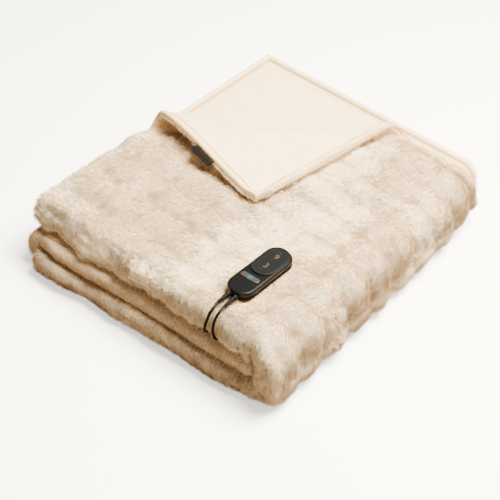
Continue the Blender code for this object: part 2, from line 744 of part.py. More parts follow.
def build_leads(group):
    rubber = finish("black flex", (0.012, 0.012, 0.012), 0.4)
    names = ("relief_mains", "relief_blanket")
    ends = {}
    for name, side in zip(names, (-0.5, 0.5)):
        start = handset_spot(side * LEAD_APART, -0.5 * HANDSET_LONG - 2 * AIR, LEAD_HIGH)
        relief(name, start, (0, -1, 0), RELIEF_LONG, RELIEF_THICK, RELIEF_THIN, rubber, group)
        ends[name] = start - Vector((0.0, RELIEF_LONG + AIR, 0.0))
    straight = Vector((0.0, -LEAD_STRAIGHT, 0.0))
    first = ends["relief_blanket"]
    lead("blanket_lead", (first, first + straight, *BLANKET_ROUTE), 3 * LEAD, rubber, group)
    first = ends["relief_mains"]
    lead("mains_lead", (first, first + straight, *MAINS_ROUTE), 3 * LEAD, rubber, group)
    build_coil(group, rubber)
    plug_end = build_plug(group, rubber)
    lead("lead_tail", (*TAIL_ROUTE, plug_end), 1.5 * LEAD, rubber, group)


def main():
    clear_scene()
    group = collection("electric heated blanket")
    build_cloth(group)
    build_label(group)
    build_handset(group)
    build_leads(group)


main()
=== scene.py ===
# Looks of the folded heated blanket: fur pile, fleece, handset, leads and a plain studio.
import itertools
from collections import namedtuple
from math import cos, exp, pi, radians, sin, sqrt

import bmesh
import bpy
import numpy as np
from mathutils import Matrix, Vector, noise


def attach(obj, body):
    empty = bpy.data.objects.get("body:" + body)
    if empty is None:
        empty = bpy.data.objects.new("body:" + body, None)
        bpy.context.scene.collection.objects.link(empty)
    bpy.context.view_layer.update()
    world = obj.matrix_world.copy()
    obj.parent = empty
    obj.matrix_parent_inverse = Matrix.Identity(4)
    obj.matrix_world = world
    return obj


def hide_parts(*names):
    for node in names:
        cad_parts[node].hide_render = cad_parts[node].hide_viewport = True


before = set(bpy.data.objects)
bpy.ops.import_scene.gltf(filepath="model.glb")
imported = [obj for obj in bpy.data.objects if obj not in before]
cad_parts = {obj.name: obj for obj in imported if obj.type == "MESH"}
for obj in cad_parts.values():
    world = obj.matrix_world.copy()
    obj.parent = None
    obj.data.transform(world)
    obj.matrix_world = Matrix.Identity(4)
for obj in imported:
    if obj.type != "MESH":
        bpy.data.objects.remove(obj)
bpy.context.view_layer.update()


# small helpers


def mix(a, b, share):
    return a + (b - a) * share


def ease(value):
    value = min(max(value, 0.0), 1.0)
    return value * value * (3.0 - 2.0 * value)


def hexColour(code):
    parts = [int(code[k:k + 2], 16) / 255 for k in (0, 2, 4)]
    linear = [p / 12.92 if p <= 0.04045 else ((p + 0.055) / 1.055) ** 2.4 for p in parts]
    return (*linear, 1.0)


def setNode(node, settings=None, links=None):
    # settings are socket values or the node's own choices, links are {input: (node, output)}
    for key, value in (settings or {}).items():
        if key == "stops":
            while len(node.color_ramp.elements) < len(value):
                node.color_ramp.elements.new(0.5)
            for element, (place, code) in zip(node.color_ramp.elements, value):
                element.position, element.color = place, hexColour(code)
        elif isinstance(key, int) or key in node.inputs:
            node.inputs[key].default_value = value
        else:
            setattr(node, key, value)
    for key, (other, output) in (links or {}).items():
        node.id_data.links.new(other.outputs[output], node.inputs[key])
    return node


def addNode(material, kind, settings=None, links=None):
    return setNode(material.node_tree.nodes.new("ShaderNode" + kind), settings, links)


def newMaterial(name, settings):
    material = bpy.data.materials.new(name)
    material.use_nodes = True
    return material, setNode(material.node_tree.nodes["Principled BSDF"], settings)


def onObject(material, kind, settings):
    # a pattern laid out on the object itself
    place = addNode(material, "TexCoord")
    return addNode(material, kind, settings, {"Vector": (place, "Object")})


def patternSurface(material, shader, pattern, stops=None, rough=None, bump=None):
    # one pattern gives the surface its tones, its roughness and its relief
    links = {}
    if stops:
        tone = addNode(material, "ValToRGB", {"stops": stops}, {"Fac": pattern})
        links["Base Color"] = tone, "Color"
    if rough:
        ends = dict(zip(("To Min", "To Max"), rough))
        links["Roughness"] = addNode(material, "MapRange", ends, {"Value": pattern}), "Result"
    if bump:
        depth = dict(zip(("Strength", "Distance"), bump))
        links["Normal"] = addNode(material, "Bump", depth, {"Height": pattern}), "Normal"
    setNode(shader, {}, links)


def newObject(name, data):
    thing = bpy.data.objects.new(name, data)
    bpy.context.scene.collection.objects.link(thing)
    return thing


def aimFrom(thing, place, way):
    thing.location = place
    thing.rotation_mode = "QUATERNION"
    thing.rotation_quaternion = way.to_track_quat("-Z", "Y")


def ridePiece(name, data, nodes=()):
    # one dressed piece of the part, in place of the CAD nodes that it remakes
    piece = newObject(name, data)
    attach(piece, "root")
    if nodes:
        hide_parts(*nodes)
    return piece


def addPiece(name, mesh, material, nodes=(), smoothUnder=45.0):
    mesh.materials.append(material)
    mesh.shade_smooth()
    if smoothUnder:
        mesh.set_sharp_from_angle(angle=radians(smoothUnder))
    return ridePiece(name, mesh, nodes)


def dress(node, material):
    # a CAD solid that keeps its shape and gets its material
    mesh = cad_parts[node].data
    mesh.materials.clear()
    mesh.materials.append(material)
    mesh.shade_smooth()
    mesh.set_sharp_from_angle(angle=radians(35))


def outline(wide, long, corner, steps=12):
    # a rounded rectangle, counterclockwise
    points = []
    corner = min(corner, 0.5 * wide, 0.5 * long)
    for number, (sx, sy) in enumerate(((1, -1), (1, 1), (-1, 1), (-1, -1))):
        x, y = sx * (0.5 * wide - corner), sy * (0.5 * long - corner)
        for k in range(steps + 1):
            angle = radians(-90 + 90 * number + 90 * k / steps)
            points.append((x + corner * cos(angle), y + corner * sin(angle)))
    return points


def bridge(work, rings):
    # quads between each ring of points and the next
    for low, high in zip(rings, rings[1:]):
        for quad in zip(low, low[1:] + low[:1], high[1:] + high[:1], high):
            work.faces.new(quad)


def meshFrom(name, work):
    bmesh.ops.recalc_face_normals(work, faces=work.faces)
    mesh = bpy.data.meshes.new(name)
    work.to_mesh(mesh)
    work.free()
    return mesh


# camera

cameraLook = {
    "target": (0.0373, -0.0827, 0.04),
    "azimuth": 40.114,
    "elevation": 41.060,
    "distance": 1.8456,
    "lens": 79.2,
}


def makeCamera(look):
    lens = bpy.data.cameras.new("photoCamera")
    lens.lens = look["lens"]
    lens.sensor_width = 36.0
    camera = newObject("photoCamera", lens)
    around, above = radians(look["azimuth"]), radians(look["elevation"])
    back = Vector((
        sin(around) * cos(above), -cos(around) * cos(above), sin(above)
    ))
    aimFrom(camera, Vector(look["target"]) + look["distance"] * back, -back)
    bpy.context.scene.camera = camera


makeCamera(cameraLook)
print("camera placed")


# the folded cloth, the same folds as the part's solids

stack = {
    "left": -0.258, "right": 0.281, "front": -0.312,
    "deepBottom": 0.0210, "deepMiddle": 0.0170, "deep": 0.0245, "deepFace": 0.0250,
    "deepTurn": 0.0184, "layerGap": 0.0015, "leadGap": 0.0052,
    "wrapReach": 0.0280, "wrapSplay": 0.0090, "wrapPuff": 0.0080, "wrapSquare": 0.0070,
    "taper": 0.018, "slip": 0.010, "turnOut": 0.012, "innerPast": 0.001,
}
cloth = {
    "halfGap": 0.0020, "fleeceOut": 0.0050, "furIn": 0.0053, "furHem": 0.0095,
    "hemWide": 0.0130, "hemLift": 0.0042, "groove": 0.0020, "grooveWide": 0.0016,
}
bottomZ = stack["deepBottom"]
middleZ = 2 * stack["deepBottom"] + stack["layerGap"] + stack["deepMiddle"]
topZ = middleZ + stack["deepMiddle"] + stack["leadGap"] + stack["deep"]
wrapX = stack["right"] - stack["wrapReach"] - stack["deepFace"]
turnX = stack["left"] - stack["turnOut"] + stack["deepBottom"] + 0.5 * (middleZ - bottomZ)
innerEnd = wrapX + stack["innerPast"]
gapZ = 0.5 * (middleZ + stack["deepMiddle"] + topZ - stack["deep"])

Station = namedtuple(
    "Station", "x z outX outZ run share front upperEdge lowerEdge upperDeep lowerDeep"
)
Row = namedtuple("Row", "side share angle")
# front bend and both cut edges in Y, then the fur's depth on the upper and the lower layer
runEnds = {
    "free end": (-0.300, 0.323, 0.337, stack["deepFace"], stack["deep"]),
    "top": (-0.312, 0.240, 0.290, stack["deepFace"], stack["deep"]),
    "wrap": (-0.316, 0.286, 0.288, stack["deepBottom"], stack["deepBottom"]),
    "bottom": (-0.321, 0.316, 0.318, stack["deepBottom"], stack["deepTurn"]),
    "turn": (-0.317, 0.316, 0.314, stack["deepMiddle"], stack["deepMiddle"]),
    "middle": (-0.312, 0.288, 0.286, stack["deepMiddle"], stack["deepMiddle"]),
}


def runStations(run, before, shares, point):
    start, end = runEnds[before], runEnds[run]
    found = []
    for share in shares:
        values = [mix(a, b, share) for a, b in zip(start, end)]
        found.append(Station(*point(share), run, share, *values))
    return found


def flatRun(xFrom, xTo, z, outZ):
    return lambda share: (mix(xFrom, xTo, share), z, 0.0, outZ)


def wrapRun(share):
    reach = stack["wrapReach"]
    straight = topZ - bottomZ - 2 * reach
    quarter = 0.5 * pi * reach
    gone = share * (2 * quarter + straight)
    if gone < quarter:
        angle, centre = 0.5 * pi - gone / reach, topZ - reach
    elif gone < quarter + straight:
        angle, centre = 0.0, topZ - reach - (gone - quarter)
    else:
        angle, centre = -(gone - quarter - straight) / reach, bottomZ + reach
    return (
        wrapX + reach * cos(angle), centre + reach * sin(angle),
        cos(angle), sin(angle),
    )


def turnRun(share):
    radius = 0.5 * (middleZ - bottomZ)
    angle = -pi * (0.5 + share)
    outX, outZ = cos(angle), sin(angle)
    return turnX + radius * outX, bottomZ + radius + radius * outZ, outX, outZ


def even(count):
    return [k / count for k in range(1, count + 1)]


def bendY(station):
    return station.front + 0.5 * (station.upperDeep + station.lowerDeep)


def furthest(run):
    return Station(0, 0, 0, 0, run, 1.0, *runEnds[run])


topWidth = runEnds["free end"][1] - bendY(furthest("free end"))
hemSteps = (0.0, 0.0012, 0.0028, 0.0048, 0.0068, 0.0088, 0.0106, 0.0118, 0.0128, 0.0142, 0.0165)

flap = {
    "corner": Vector((stack["left"], 0.323)),
    "tip": Vector((0.044, -0.078)),
    "slack": 0.94,
    "axis": 0.021,
    "fur": 0.013,
    "end": 0.905,
    "roundFrom": 0.80,
    "tipRound": 0.062,
    "arch": 0.019,
    "archWide": 0.085,
}


def foldLine():
    way = (flap["corner"] - flap["tip"]).normalized()
    turn = pi * (flap["axis"] - cloth["fleeceOut"])
    whole = (flap["corner"] - flap["tip"]).length
    reach = (whole + flap["slack"] * turn) / (1.0 + flap["slack"])
    middle = flap["corner"] - reach * way
    along = Vector((way.y, -way.x))
    left = middle + along * ((stack["left"] - middle.x) / along.x)
    slope = (runEnds["top"][1] - flap["corner"].y) / (wrapX - stack["left"])
    lift = flap["corner"].y + slope * (middle.x - stack["left"]) - middle.y
    return way, reach, left, middle + along * (lift / (along.y - slope * along.x))


foldWay, foldReach, foldLeft, foldRight = foldLine()
cornerShare = (flap["corner"].y - foldLeft.y) / topWidth
slantLeft, slantRight = (
    abs((flap["corner"] - end).normalized().cross((foldRight - foldLeft).normalized()))
    for end in (foldLeft, foldRight)
)


def upperPlan(share, station):
    end = furthest("top")
    right = Vector((wrapX, mix(end.upperEdge, bendY(end), share)))
    if share < cornerShare:
        left = foldRight.lerp(foldLeft, share / cornerShare)
    else:
        left = Vector((stack["left"], flap["corner"].y - topWidth * share))
    return left.lerp(right, station.share)


def clothPoint(station, row, depth):
    y = mix(station.upperEdge, bendY(station), row.share)
    x, out = station.x, depth
    if row.side == "upper" and station.run == "top":
        x, y = upperPlan(row.share, station)
    elif row.side == "bend":
        y = bendY(station) - depth * sin(row.angle)
        out = depth * cos(row.angle)
    elif row.side == "lower":
        y = mix(bendY(station), station.lowerEdge, row.share)
        out = -depth
        if station.run == "top":
            x -= stack["slip"] * row.share * (1.0 - station.share)
    x += out * station.outX
    x -= stack["taper"] * (y - stack["front"]) * max(
        0.0, (x - stack["left"]) / (stack["right"] - stack["left"])
    )
    return Vector((x, y, station.z + out * station.outZ))


def tipShare(reached):
    # how much of the rounded end is reached
    return ease((reached - flap["roundFrom"]) / (flap["end"] - flap["roundFrom"]))


def flapPlan(reached, along):
    # a line of the turned corner, whose end is rounded
    reached += flap["tipRound"] * tipShare(reached) * (1.0 - (2.0 * along - 1.0) ** 2)
    right, left = (end.lerp(flap["corner"], reached) for end in (foldRight, foldLeft))
    return right.lerp(left, along)


def flapArch(plan):
    side = (flap["corner"] - foldLeft).normalized()
    inward = abs((plan - foldLeft).cross(side))
    along = (plan - foldLeft).dot(side) / (flap["corner"] - foldLeft).length
    rise = sin(pi * min(max(along, 0.0), 1.0) ** 0.62) ** 2
    return flap["arch"] * rise * exp(-((inward / flap["archWide"]) ** 2))


def flapPoint(plan, depth):
    past = (plan - foldLeft).dot(foldWay)
    base = plan - past * foldWay
    radius = flap["axis"] - depth
    turn = flap["axis"] - cloth["fleeceOut"]
    angle = min(past / turn, pi)
    flat = flap["slack"] * max(past - pi * turn, 0.0)
    place = base + foldWay * (radius * sin(angle) - flat)
    high = topZ + flap["axis"] - radius * cos(angle)
    return Vector((place.x, place.y, high + flapArch(plan) * ease(angle / pi)))


def edgeDistance(station, row):
    upper = row.side == "upper"
    across = row.share if upper else 1.0 - row.share
    distance = across * (station.upperEdge - bendY(station)) if row.side != "bend" else 1.0
    if station.run == "top" and (not upper or row.share >= cornerShare - 0.0001):
        distance = min(distance, station.x - stack["left"])
    if station.run == "middle":
        distance = min(distance, innerEnd - station.x)
    return max(distance, 0.0)


def lumps(place, size, seed):
    return noise.noise(Vector((place.x / size, place.y / size, place.z / size + seed)))


handsetPlace = (0.158, -0.202)
furLook = {
    "ribs": 9, "firstSeam": 1 / 3, "roundness": 2.0, "wander": 0.10,
    "topCrest": 0.0020, "topSeam": -0.0062,
    "wrapCrest": 0.0034, "wrapSeam": -0.0042,
    "sunk": 0.0046,  # the cloth under the pile lies this far inside the solid's face
    # height, size and seed of the small waves all over and of the larger ones on the front
    "soft": ((0.0028, 0.042, 7.0), (0.0020, 0.018, 11.0)),
    "wave": ((0.0048, 0.050, 21.0), (0.0030, 0.026, 5.0)),
    # flatter round the handset, and on the front where the leads go in
    "calmX": 0.026, "calmY": 0.064, "calmFade": 0.022,
    "leadsX": 0.153, "leadsWide": 0.022, "leadsFade": 0.030,
    "sag": {"top": 0.0085, "bottom": 0.0050}, "sagWave": 220.0,
    "droop": 0.0070, "droopWide": 0.085,
    "tuck": 0.0150, "slope": 0.0022, "blunt": 0.0110,
    "puff": 0.0085, "puffEnd": 0.16, "puffFade": 0.07,
    "hemGroove": 0.0115, "grooveAt": 0.0185, "grooveWide": 0.0056,
}


def relief(place, waves):
    return sum(high * lumps(place, size, seed) for high, size, seed in waves)


def ribShare(share, place):
    # 0 in a seam and 1 on a crest, with the seams wandering a little
    wander = furLook["wander"] * lumps(place, 0.070, 3.0)
    phase = share * furLook["ribs"] - furLook["firstSeam"] + wander
    gap = 2.0 * abs((phase + 0.5) % 1.0 - 0.5)
    return 1.0 - (1.0 - gap) ** furLook["roundness"]


def cornerSag(place):
    # the front left corner of the top layer droops
    if place.z <= topZ - 0.03:
        return 0.0
    aside = (Vector(place.xy) - Vector((stack["left"], stack["front"]))).length
    return -furLook["droop"] * exp(-((aside / furLook["droopWide"]) ** 2))


def wrapRelief(station, row, place, soft):
    under = min(max(-station.outZ, 0.0), 1.0)
    spread = 0.95 * stack["wrapSplay"] * sin(pi * under)
    if row.side == "upper":
        spread -= furLook["tuck"] * (1.0 - ease(row.share / 0.25)) * sqrt(under)
        crest = ribShare(row.share, place)
        ribbed = mix(furLook["wrapSeam"], furLook["wrapCrest"], crest) + soft
        calmer = mix(furLook["topSeam"], furLook["topCrest"], crest) + soft
        ribbed = mix(ribbed, calmer, 0.6 * ease(max(station.outZ, 0.0) * 1.1))
        return spread + ribbed * (1.0 - ease((under - 0.6) / 0.4))
    facing, ahead = max(cos(row.angle), 0.0), sin(row.angle)
    full = stack["wrapSquare"] * (2.0 * facing * ahead) ** 2 * (1.0 - under)
    full += stack["wrapPuff"] * ahead
    blunt = furLook["blunt"] * sin(pi * under) * ahead
    return spread * facing + full * station.outX * (1.0 - 0.35 * under) - blunt + soft


def bendRelief(station, row, place):
    # the top roll sags over the middle one and the bottom roll swells up below it
    aside = abs(place.x - furLook["leadsX"]) - furLook["leadsWide"]
    beside = ease(aside / furLook["leadsFade"])
    wave = relief(place, furLook["wave"])
    below = row.angle > 0.5 * pi
    slack = max(0.0, sin(2.0 * row.angle - pi)) if below else 0.0
    swell = furLook["sag"].get(station.run, 0.0) * slack * (1.0 + furLook["sagWave"] * wave)
    if station.run == "top":
        swell -= furLook["slope"] * max(0.0, sin(2.0 * row.angle))
    swell *= 0.5 + 0.5 * beside
    if station.run == "bottom":
        fade = 1.0 - ease((place.x - furLook["puffEnd"]) / furLook["puffFade"])
        swell += furLook["puff"] * sin(row.angle) ** 2 * fade
    drooped = cornerSag(place) * cos(0.5 * row.angle)
    return wave * sin(row.angle) * beside + swell + drooped


def topRelief(row, place, soft):
    aside = max(
        abs(place.x - handsetPlace[0]) - furLook["calmX"],
        abs(place.y - handsetPlace[1]) - furLook["calmY"],
    )
    strength = 0.45 + 0.75 * max(0.0, 0.5 + lumps(place, 0.110, 17.0))
    crest = ribShare(row.share, place)
    ribbed = mix(furLook["topSeam"] * strength, furLook["topCrest"], crest) + soft
    level = stack["deep"] - stack["deepFace"] + 0.0008
    pressed = mix(level, ribbed, ease(aside / furLook["calmFade"]))
    if row.share >= cornerShare - 0.0001:
        return pressed + cornerSag(place)
    beforeFold = (Vector(place.xy) - foldLeft).dot(-foldWay)
    return mix(flap["fur"] - stack["deepFace"], pressed, ease(beforeFold / 0.045))


def furRelief(station, row, place):
    soft = relief(place, furLook["soft"])
    if row.side == "lower":
        return 0.0
    if station.run == "wrap":
        return wrapRelief(station, row, place, soft)
    if row.side == "bend":
        return bendRelief(station, row, place)
    if station.run == "top":
        return topRelief(row, place, soft)
    return soft * max(0.0, -station.outX) if station.run == "turn" else 0.0


def edgeRound(depth, distance):
    if distance > cloth["hemWide"]:
        return depth
    share = sqrt(1.0 - (1.0 - distance / cloth["hemWide"]) ** 2)
    return mix(min(cloth["furHem"], depth), depth, share)


def hemGroove(station, row):
    # 1 in the groove beside the top layer's furry back hem, fading out towards the wrap
    upper = row.side == "upper" and station.run in ("top", "wrap")
    if not upper or row.share > 0.5 * cornerShare:
        return 0.0
    fade = 1.0 if station.run == "top" else max(station.outZ, 0.0)
    aside = (edgeDistance(station, row) - furLook["grooveAt"]) / furLook["grooveWide"]
    return fade * exp(-(aside ** 2))


def furDepth(station, row):
    deep = mix(station.upperDeep, station.lowerDeep, row.angle / pi)
    place = clothPoint(station, row, deep)
    deep += furRelief(station, row, place) - furLook["hemGroove"] * hemGroove(station, row)
    sunk = furLook["sunk"]
    if row.side == "bend" and station.run == "bottom":
        sunk *= sin(row.angle)
    elif row.side == "lower" or station.run in ("bottom", "middle"):
        sunk = 0.0
    return max(edgeRound(deep, edgeDistance(station, row)) - sunk, cloth["furIn"] + 0.0016)


def fleeceDepth(distance, place):
    # smooth short fleece with a rolled hem and the stitched groove beside it
    roll = cloth["hemWide"] - 0.0015
    depth = cloth["halfGap"] + 0.0003 * lumps(place, 0.030, 2.0)
    if distance < roll:
        share = 2.0 * distance / roll - 1.0
        return depth - cloth["hemLift"] * sqrt(max(1.0 - share * share, 0.0)) ** 0.8
    aside = (distance - cloth["hemWide"]) / cloth["grooveWide"]
    return depth + cloth["groove"] * exp(-(aside ** 2))


def makeRows(upperCount, bendCount, lowerCount):
    # the rows across the folded cloth, closer together in the hems, and the corner's own row
    hem = [d / topWidth for d in hemSteps]
    before = [cornerShare - d for d in reversed(hem)]
    count = max(4, round(upperCount * (before[0] - hem[-1])))
    shares = hem + [mix(hem[-1], before[0], share) for share in even(count)[:-1]] + before
    corner = len(shares) - 1
    count = max(4, round(upperCount * (1.0 - cornerShare)))
    shares += [mix(cornerShare, 1.0, share) for share in even(count)]
    rows = [Row("upper", share, 0.0) for share in shares]
    rows += [Row("bend", 1.0, pi * share) for share in even(bendCount)]
    rows += [Row("lower", share * (1.0 - hem[-1]), pi) for share in even(lowerCount)]
    rows += [Row("lower", 1.0 - share, pi) for share in reversed(hem[:-1])]
    return rows, corner


def makeStations(topCount, wrapCount, bottomCount, turnCount, middleCount):
    length = wrapX - stack["left"]
    hem = [d / length for d in hemSteps]
    top = hem + [mix(hem[-1], 1.0, share) for share in even(topCount)]
    inner = innerEnd - turnX
    last = 1.0 - hemSteps[-1] / inner
    middle = [share * last for share in even(middleCount)]
    middle += [1.0 - d / inner for d in reversed(hemSteps[:-1])]
    return (
        runStations("top", "free end", top, flatRun(stack["left"], wrapX, topZ, 1.0))
        + runStations("wrap", "top", even(wrapCount), wrapRun)
        + runStations("bottom", "wrap", even(bottomCount), flatRun(wrapX, turnX, bottomZ, -1.0))
        + runStations("turn", "bottom", even(turnCount), turnRun)
        + runStations("middle", "turn", middle, flatRun(turnX, innerEnd, middleZ, 1.0))
    )


def flapLines(turnCount, flatCount):
    turn = pi * (flap["axis"] - cloth["fleeceOut"]) / foldReach
    bent = [turn * share for share in even(turnCount)]
    last = flap["end"] - hemSteps[-1] / foldReach
    flat = [mix(turn, last, share) for share in even(flatCount)]
    return bent + flat + [flap["end"] - d / foldReach for d in reversed(hemSteps[:-1])]


def flapAlong(reached, index, corner, rows):
    # the hems keep their width while the lines grow shorter towards the tip
    base = rows[index].share / cornerShare
    length = (foldRight - foldLeft).length * max(1.0 - reached, 0.02)
    scale = min(1.0 / length, 0.30 / hemSteps[-1])
    count = len(hemSteps)
    if index < count:
        wanted = hemSteps[index] * scale / slantRight
    elif index > corner - count:
        wanted = 1.0 - hemSteps[corner - index] * scale / slantLeft
    else:
        low, high = hemSteps[-1] * scale / slantRight, 1.0 - hemSteps[-1] * scale / slantLeft
        wanted = mix(low, high, (index - count + 1) / (corner - 2 * count + 2))
    return mix(base, wanted, ease(reached / 0.10))


def flapEdge(reached, along):
    length = (foldRight - foldLeft).length * (1.0 - reached)
    rounding = flap["tipRound"] * (1.0 - tipShare(reached)) * (1.0 - (2.0 * along - 1.0) ** 2)
    ahead = (flap["end"] - reached + rounding) * foldReach
    return max(min(along * length * slantRight, (1.0 - along) * length * slantLeft, ahead), 0.0)


def overGrid(rows, corner, stations, lines, mainValue, flapValue, fill):
    # what both functions give over the cloth: [flap lines then stations][rows]
    found = np.full((len(lines) + len(stations), len(rows), *np.shape(fill)), fill)
    for i, station in enumerate(stations):
        for j, row in enumerate(rows):
            found[len(lines) + i, j] = mainValue(station, row)
    for i, reached in enumerate(lines):
        for j in range(corner + 1):
            along = flapAlong(reached, j, corner, rows)
            found[len(lines) - 1 - i, j] = flapValue(reached, along)
    return found


def bothFaces(plan, mainFace, flapFace):
    # the outer and the inner points of one cloth
    return np.moveaxis(overGrid(*plan, mainFace, flapFace, np.zeros((2, 3))), 2, 0)


def hemDistances(*plan):
    # from every point of the grids to the nearest cut edge
    return overGrid(*plan, edgeDistance, flapEdge, 1.0)


def rimStrips(outer, inner, first, corner):
    # quads along the cut edges, with the way each of their corners looks
    corners, ways = [], []
    for at, beside in (
        (np.s_[:, 0], np.s_[:, 1]),
        (np.s_[first:, -1], np.s_[first:, -2]),
        (np.s_[:first, corner], np.s_[:first, corner - 1]),
        (np.s_[0, :corner + 1], np.s_[1, :corner + 1]),
        (np.s_[first, corner:], np.s_[first + 1, corner:]),
    ):
        a, b = outer[at], inner[at]
        away = unit(b - inner[beside])
        corners.append(np.stack([a[:-1], a[1:], b[1:], b[:-1]], 1))
        ways.append(np.stack([away[:-1], away[1:], away[1:], away[:-1]], 1))
    return np.concatenate(corners), np.concatenate(ways)


def quadCorners(grid):
    return np.stack([grid[:-1, :-1], grid[1:, :-1], grid[1:, 1:], grid[:-1, 1:]], 2)


def gridQuads(columns, count, first, corner):
    # quads over the flap's lines, which reach the corner row only, and the stations
    quads = quadCorners(np.arange(columns * count).reshape(columns, count))
    keep = np.ones(quads.shape[:2], bool)
    keep[:first, corner:] = False
    return quads[keep], keep


def closedSheet(name, outer, inner, first, corner, marks=None):
    columns, count = outer.shape[:2]
    quads = gridQuads(columns, count, first, corner)[0]
    shift = columns * count
    # the rim closes the edges whose other direction is in no quad
    edges = {(ring[k - 1], ring[k]): 0 for ring in quads.tolist() for k in (1, 2, 3, 0)}
    rim = [[b, a, a + shift, b + shift] for a, b in edges if (b, a) not in edges]
    faces = quads.tolist() + (quads[:, ::-1] + shift).tolist() + rim
    points = np.concatenate([outer.reshape(-1, 3), inner.reshape(-1, 3)])
    used = np.zeros(len(points), bool)
    used[np.array(faces).ravel()] = True
    renumber = np.cumsum(used) - 1
    faces = renumber[np.array(faces)].tolist()
    mesh = bpy.data.meshes.new(name)
    mesh.from_pydata(points[used].tolist(), [], faces)
    work = bmesh.new()
    work.from_mesh(mesh)
    bmesh.ops.recalc_face_normals(work, faces=work.faces)
    if work.calc_volume(signed=True) < 0:
        bmesh.ops.reverse_faces(work, faces=work.faces)
    work.to_mesh(mesh)
    work.free()
    if marks is not None:
        both = np.concatenate([np.zeros(marks.size), marks.ravel()])[used].astype(np.float32)
        # the stitched line and the fleece's painted shade, for its material
        mesh.attributes.new("sewn", "FLOAT", "POINT").data.foreach_set("value", both)
    return mesh


def furFaces():
    plan = (*makeRows(96, 18, 8), makeStations(76, 36, 8, 18, 10), flapLines(12, 22))

    def mainFace(station, row):
        deep = furDepth(station, row)
        return clothPoint(station, row, deep), clothPoint(station, row, cloth["furIn"])

    def flapFace(reached, along):
        spot = flapPlan(reached, along)
        deep = edgeRound(flap["fur"], flapEdge(reached, along)) - 0.0015
        return flapPoint(spot, deep), flapPoint(spot, cloth["furIn"])

    return plan, *bothFaces(plan, mainFace, flapFace)


def fleeceFaces():
    plan = (*makeRows(56, 8, 34), makeStations(52, 12, 6, 10, 6), flapLines(14, 34))

    def mainFace(station, row):
        outer = clothPoint(station, row, cloth["fleeceOut"])
        return outer, clothPoint(station, row, fleeceDepth(edgeDistance(station, row), outer))

    def flapFace(reached, along):
        spot = flapPlan(reached, along)
        outer = flapPoint(spot, cloth["fleeceOut"])
        return outer, flapPoint(spot, fleeceDepth(flapEdge(reached, along), outer))

    return plan, *bothFaces(plan, mainFace, flapFace)


# faux fur: knitted backing with a cut acrylic pile, so it is matt and soft with no highlight

pileLook = {
    "perSquareMetre": 765000, "seed": 4,
    "long": 0.0088, "wide": 0.0008, "lean": 0.98, "sunk": 0.0008,
    # the least of each and how much chance adds, as shares of the value
    "longSpread": (0.72, 0.5), "leanSpread": (0.75, 0.5), "wideSpread": (0.7, 0.6),
    # stroked towards the front right in broad swirls, and drawn together in tufts
    "stroke": (0.75, -0.55, -0.35), "swirl": 0.9, "swirlSize": 0.085,
    "clump": 0.0072, "clumpJitter": 0.6, "pull": 0.484, "tuft": 0.55, "stray": 0.17,
    # lightness of a hair: its middle, then what each cause changes; the seam, hem and low ones
    # are painted shade, the high one painted light
    "tone": 0.72, "broadTone": 0.35, "clumpTone": 0.22, "dabTone": 1.6, "hairTone": 0.07,
    "seamShade": 0.52, "seamPower": 2.2, "hemShade": 0.65, "lowPaintedShade": 0.14, "highPaintedLight": 0.12,
    # where there is none, or where only the edges have it
    "handset": (0.020, 0.056), "floor": 0.004, "hidden": -0.285,
    "turnedHem": 0.0100, "lowerEdge": 0.030, "flapEdge": 0.028, "split": 0.02,
}
# dark and light tones of the hairs' roots, of their tips and of the backing; the roots are
# darker as painted shade deep in the pile
furColours = {
    "root": ("a58866", "d4ba96"), "tip": ("ceb088", "fff3da"), "backing": ("b29169", "d8bf9b"),
}


def makeFurMaterial(look):
    material, shader = newMaterial("acrylicFurPile", {
        "Roughness": 0.95, "Specular IOR Level": 0.12, "Sheen Weight": 0.25,
        "Sheen Roughness": 0.5, "Sheen Tint": hexColour("fff2e0"),
    })
    # the pile's own map holds its lightness and the place along the hair, which darkens it
    # towards the root as painted shade
    spot = addNode(material, "UVMap", {"uv_map": "OFBake"})
    parts = addNode(material, "SeparateXYZ", links={"Vector": (spot, "UV")})
    root, tip = (
        addNode(material, "ValToRGB", {"stops": list(enumerate(tones))}, {"Fac": (parts, "X")})
        for tones in (look["root"], look["tip"])
    )
    along = addNode(
        material, "MapRange", {"From Min": 0.0, "From Max": 0.62}, {"Value": (parts, "Y")}
    )
    blend = addNode(
        material, "MixRGB",
        links={"Fac": (along, "Result"), "Color1": (root, "Color"), "Color2": (tip, "Color")},
    )
    setNode(shader, {}, {"Base Color": (blend, "Color")})
    # light comes through the hairs, so the ribs stay soft in their shade
    through = addNode(material, "BsdfTranslucent", links={"Color": (blend, "Color")})
    both = addNode(
        material, "MixShader", {"Fac": 0.42}, {1: (shader, "BSDF"), 2: (through, "BSDF")}
    )
    setNode(material.node_tree.nodes["Material Output"], {}, {"Surface": (both, "Shader")})
    return material


def makeBackingMaterial(look):
    # what shows between the hairs: the pile's lower part, darker and warmer as painted shade
    material, shader = newMaterial(
        "acrylicFurBacking", {"Roughness": 0.95, "Specular IOR Level": 0.1}
    )
    tufts = onObject(material, "TexNoise", {"Scale": 260.0, "Detail": 4.0, "Roughness": 0.6})
    stops = list(zip((0.30, 0.70), look["backing"]))
    patternSurface(material, shader, (tufts, "Fac"), stops, bump=(0.5, 0.002))
    return material


def hashOf(cells, salt):
    value = np.sin(cells @ np.array([127.1, 311.7, 74.7]) + salt) * 43758.5453
    return value - np.floor(value)


def shifts(cells, *salts):
    return np.stack([hashOf(cells, salt) for salt in salts], 1) - 0.5


def smoothNoise(points, size, seed):
    # value noise on a coarse lattice, quick enough for every hair
    at = points / size + seed
    low = np.floor(at)
    part = at - low
    part = part * part * (3 - 2 * part)
    total = np.zeros(len(points))
    for step in itertools.product((0, 1), repeat=3):
        total += hashOf(low + step, seed) * np.prod(np.where(step, part, 1 - part), axis=1)
    return total


def unit(vectors):
    return vectors / np.maximum(np.linalg.norm(vectors, axis=-1, keepdims=True), 1e-9)


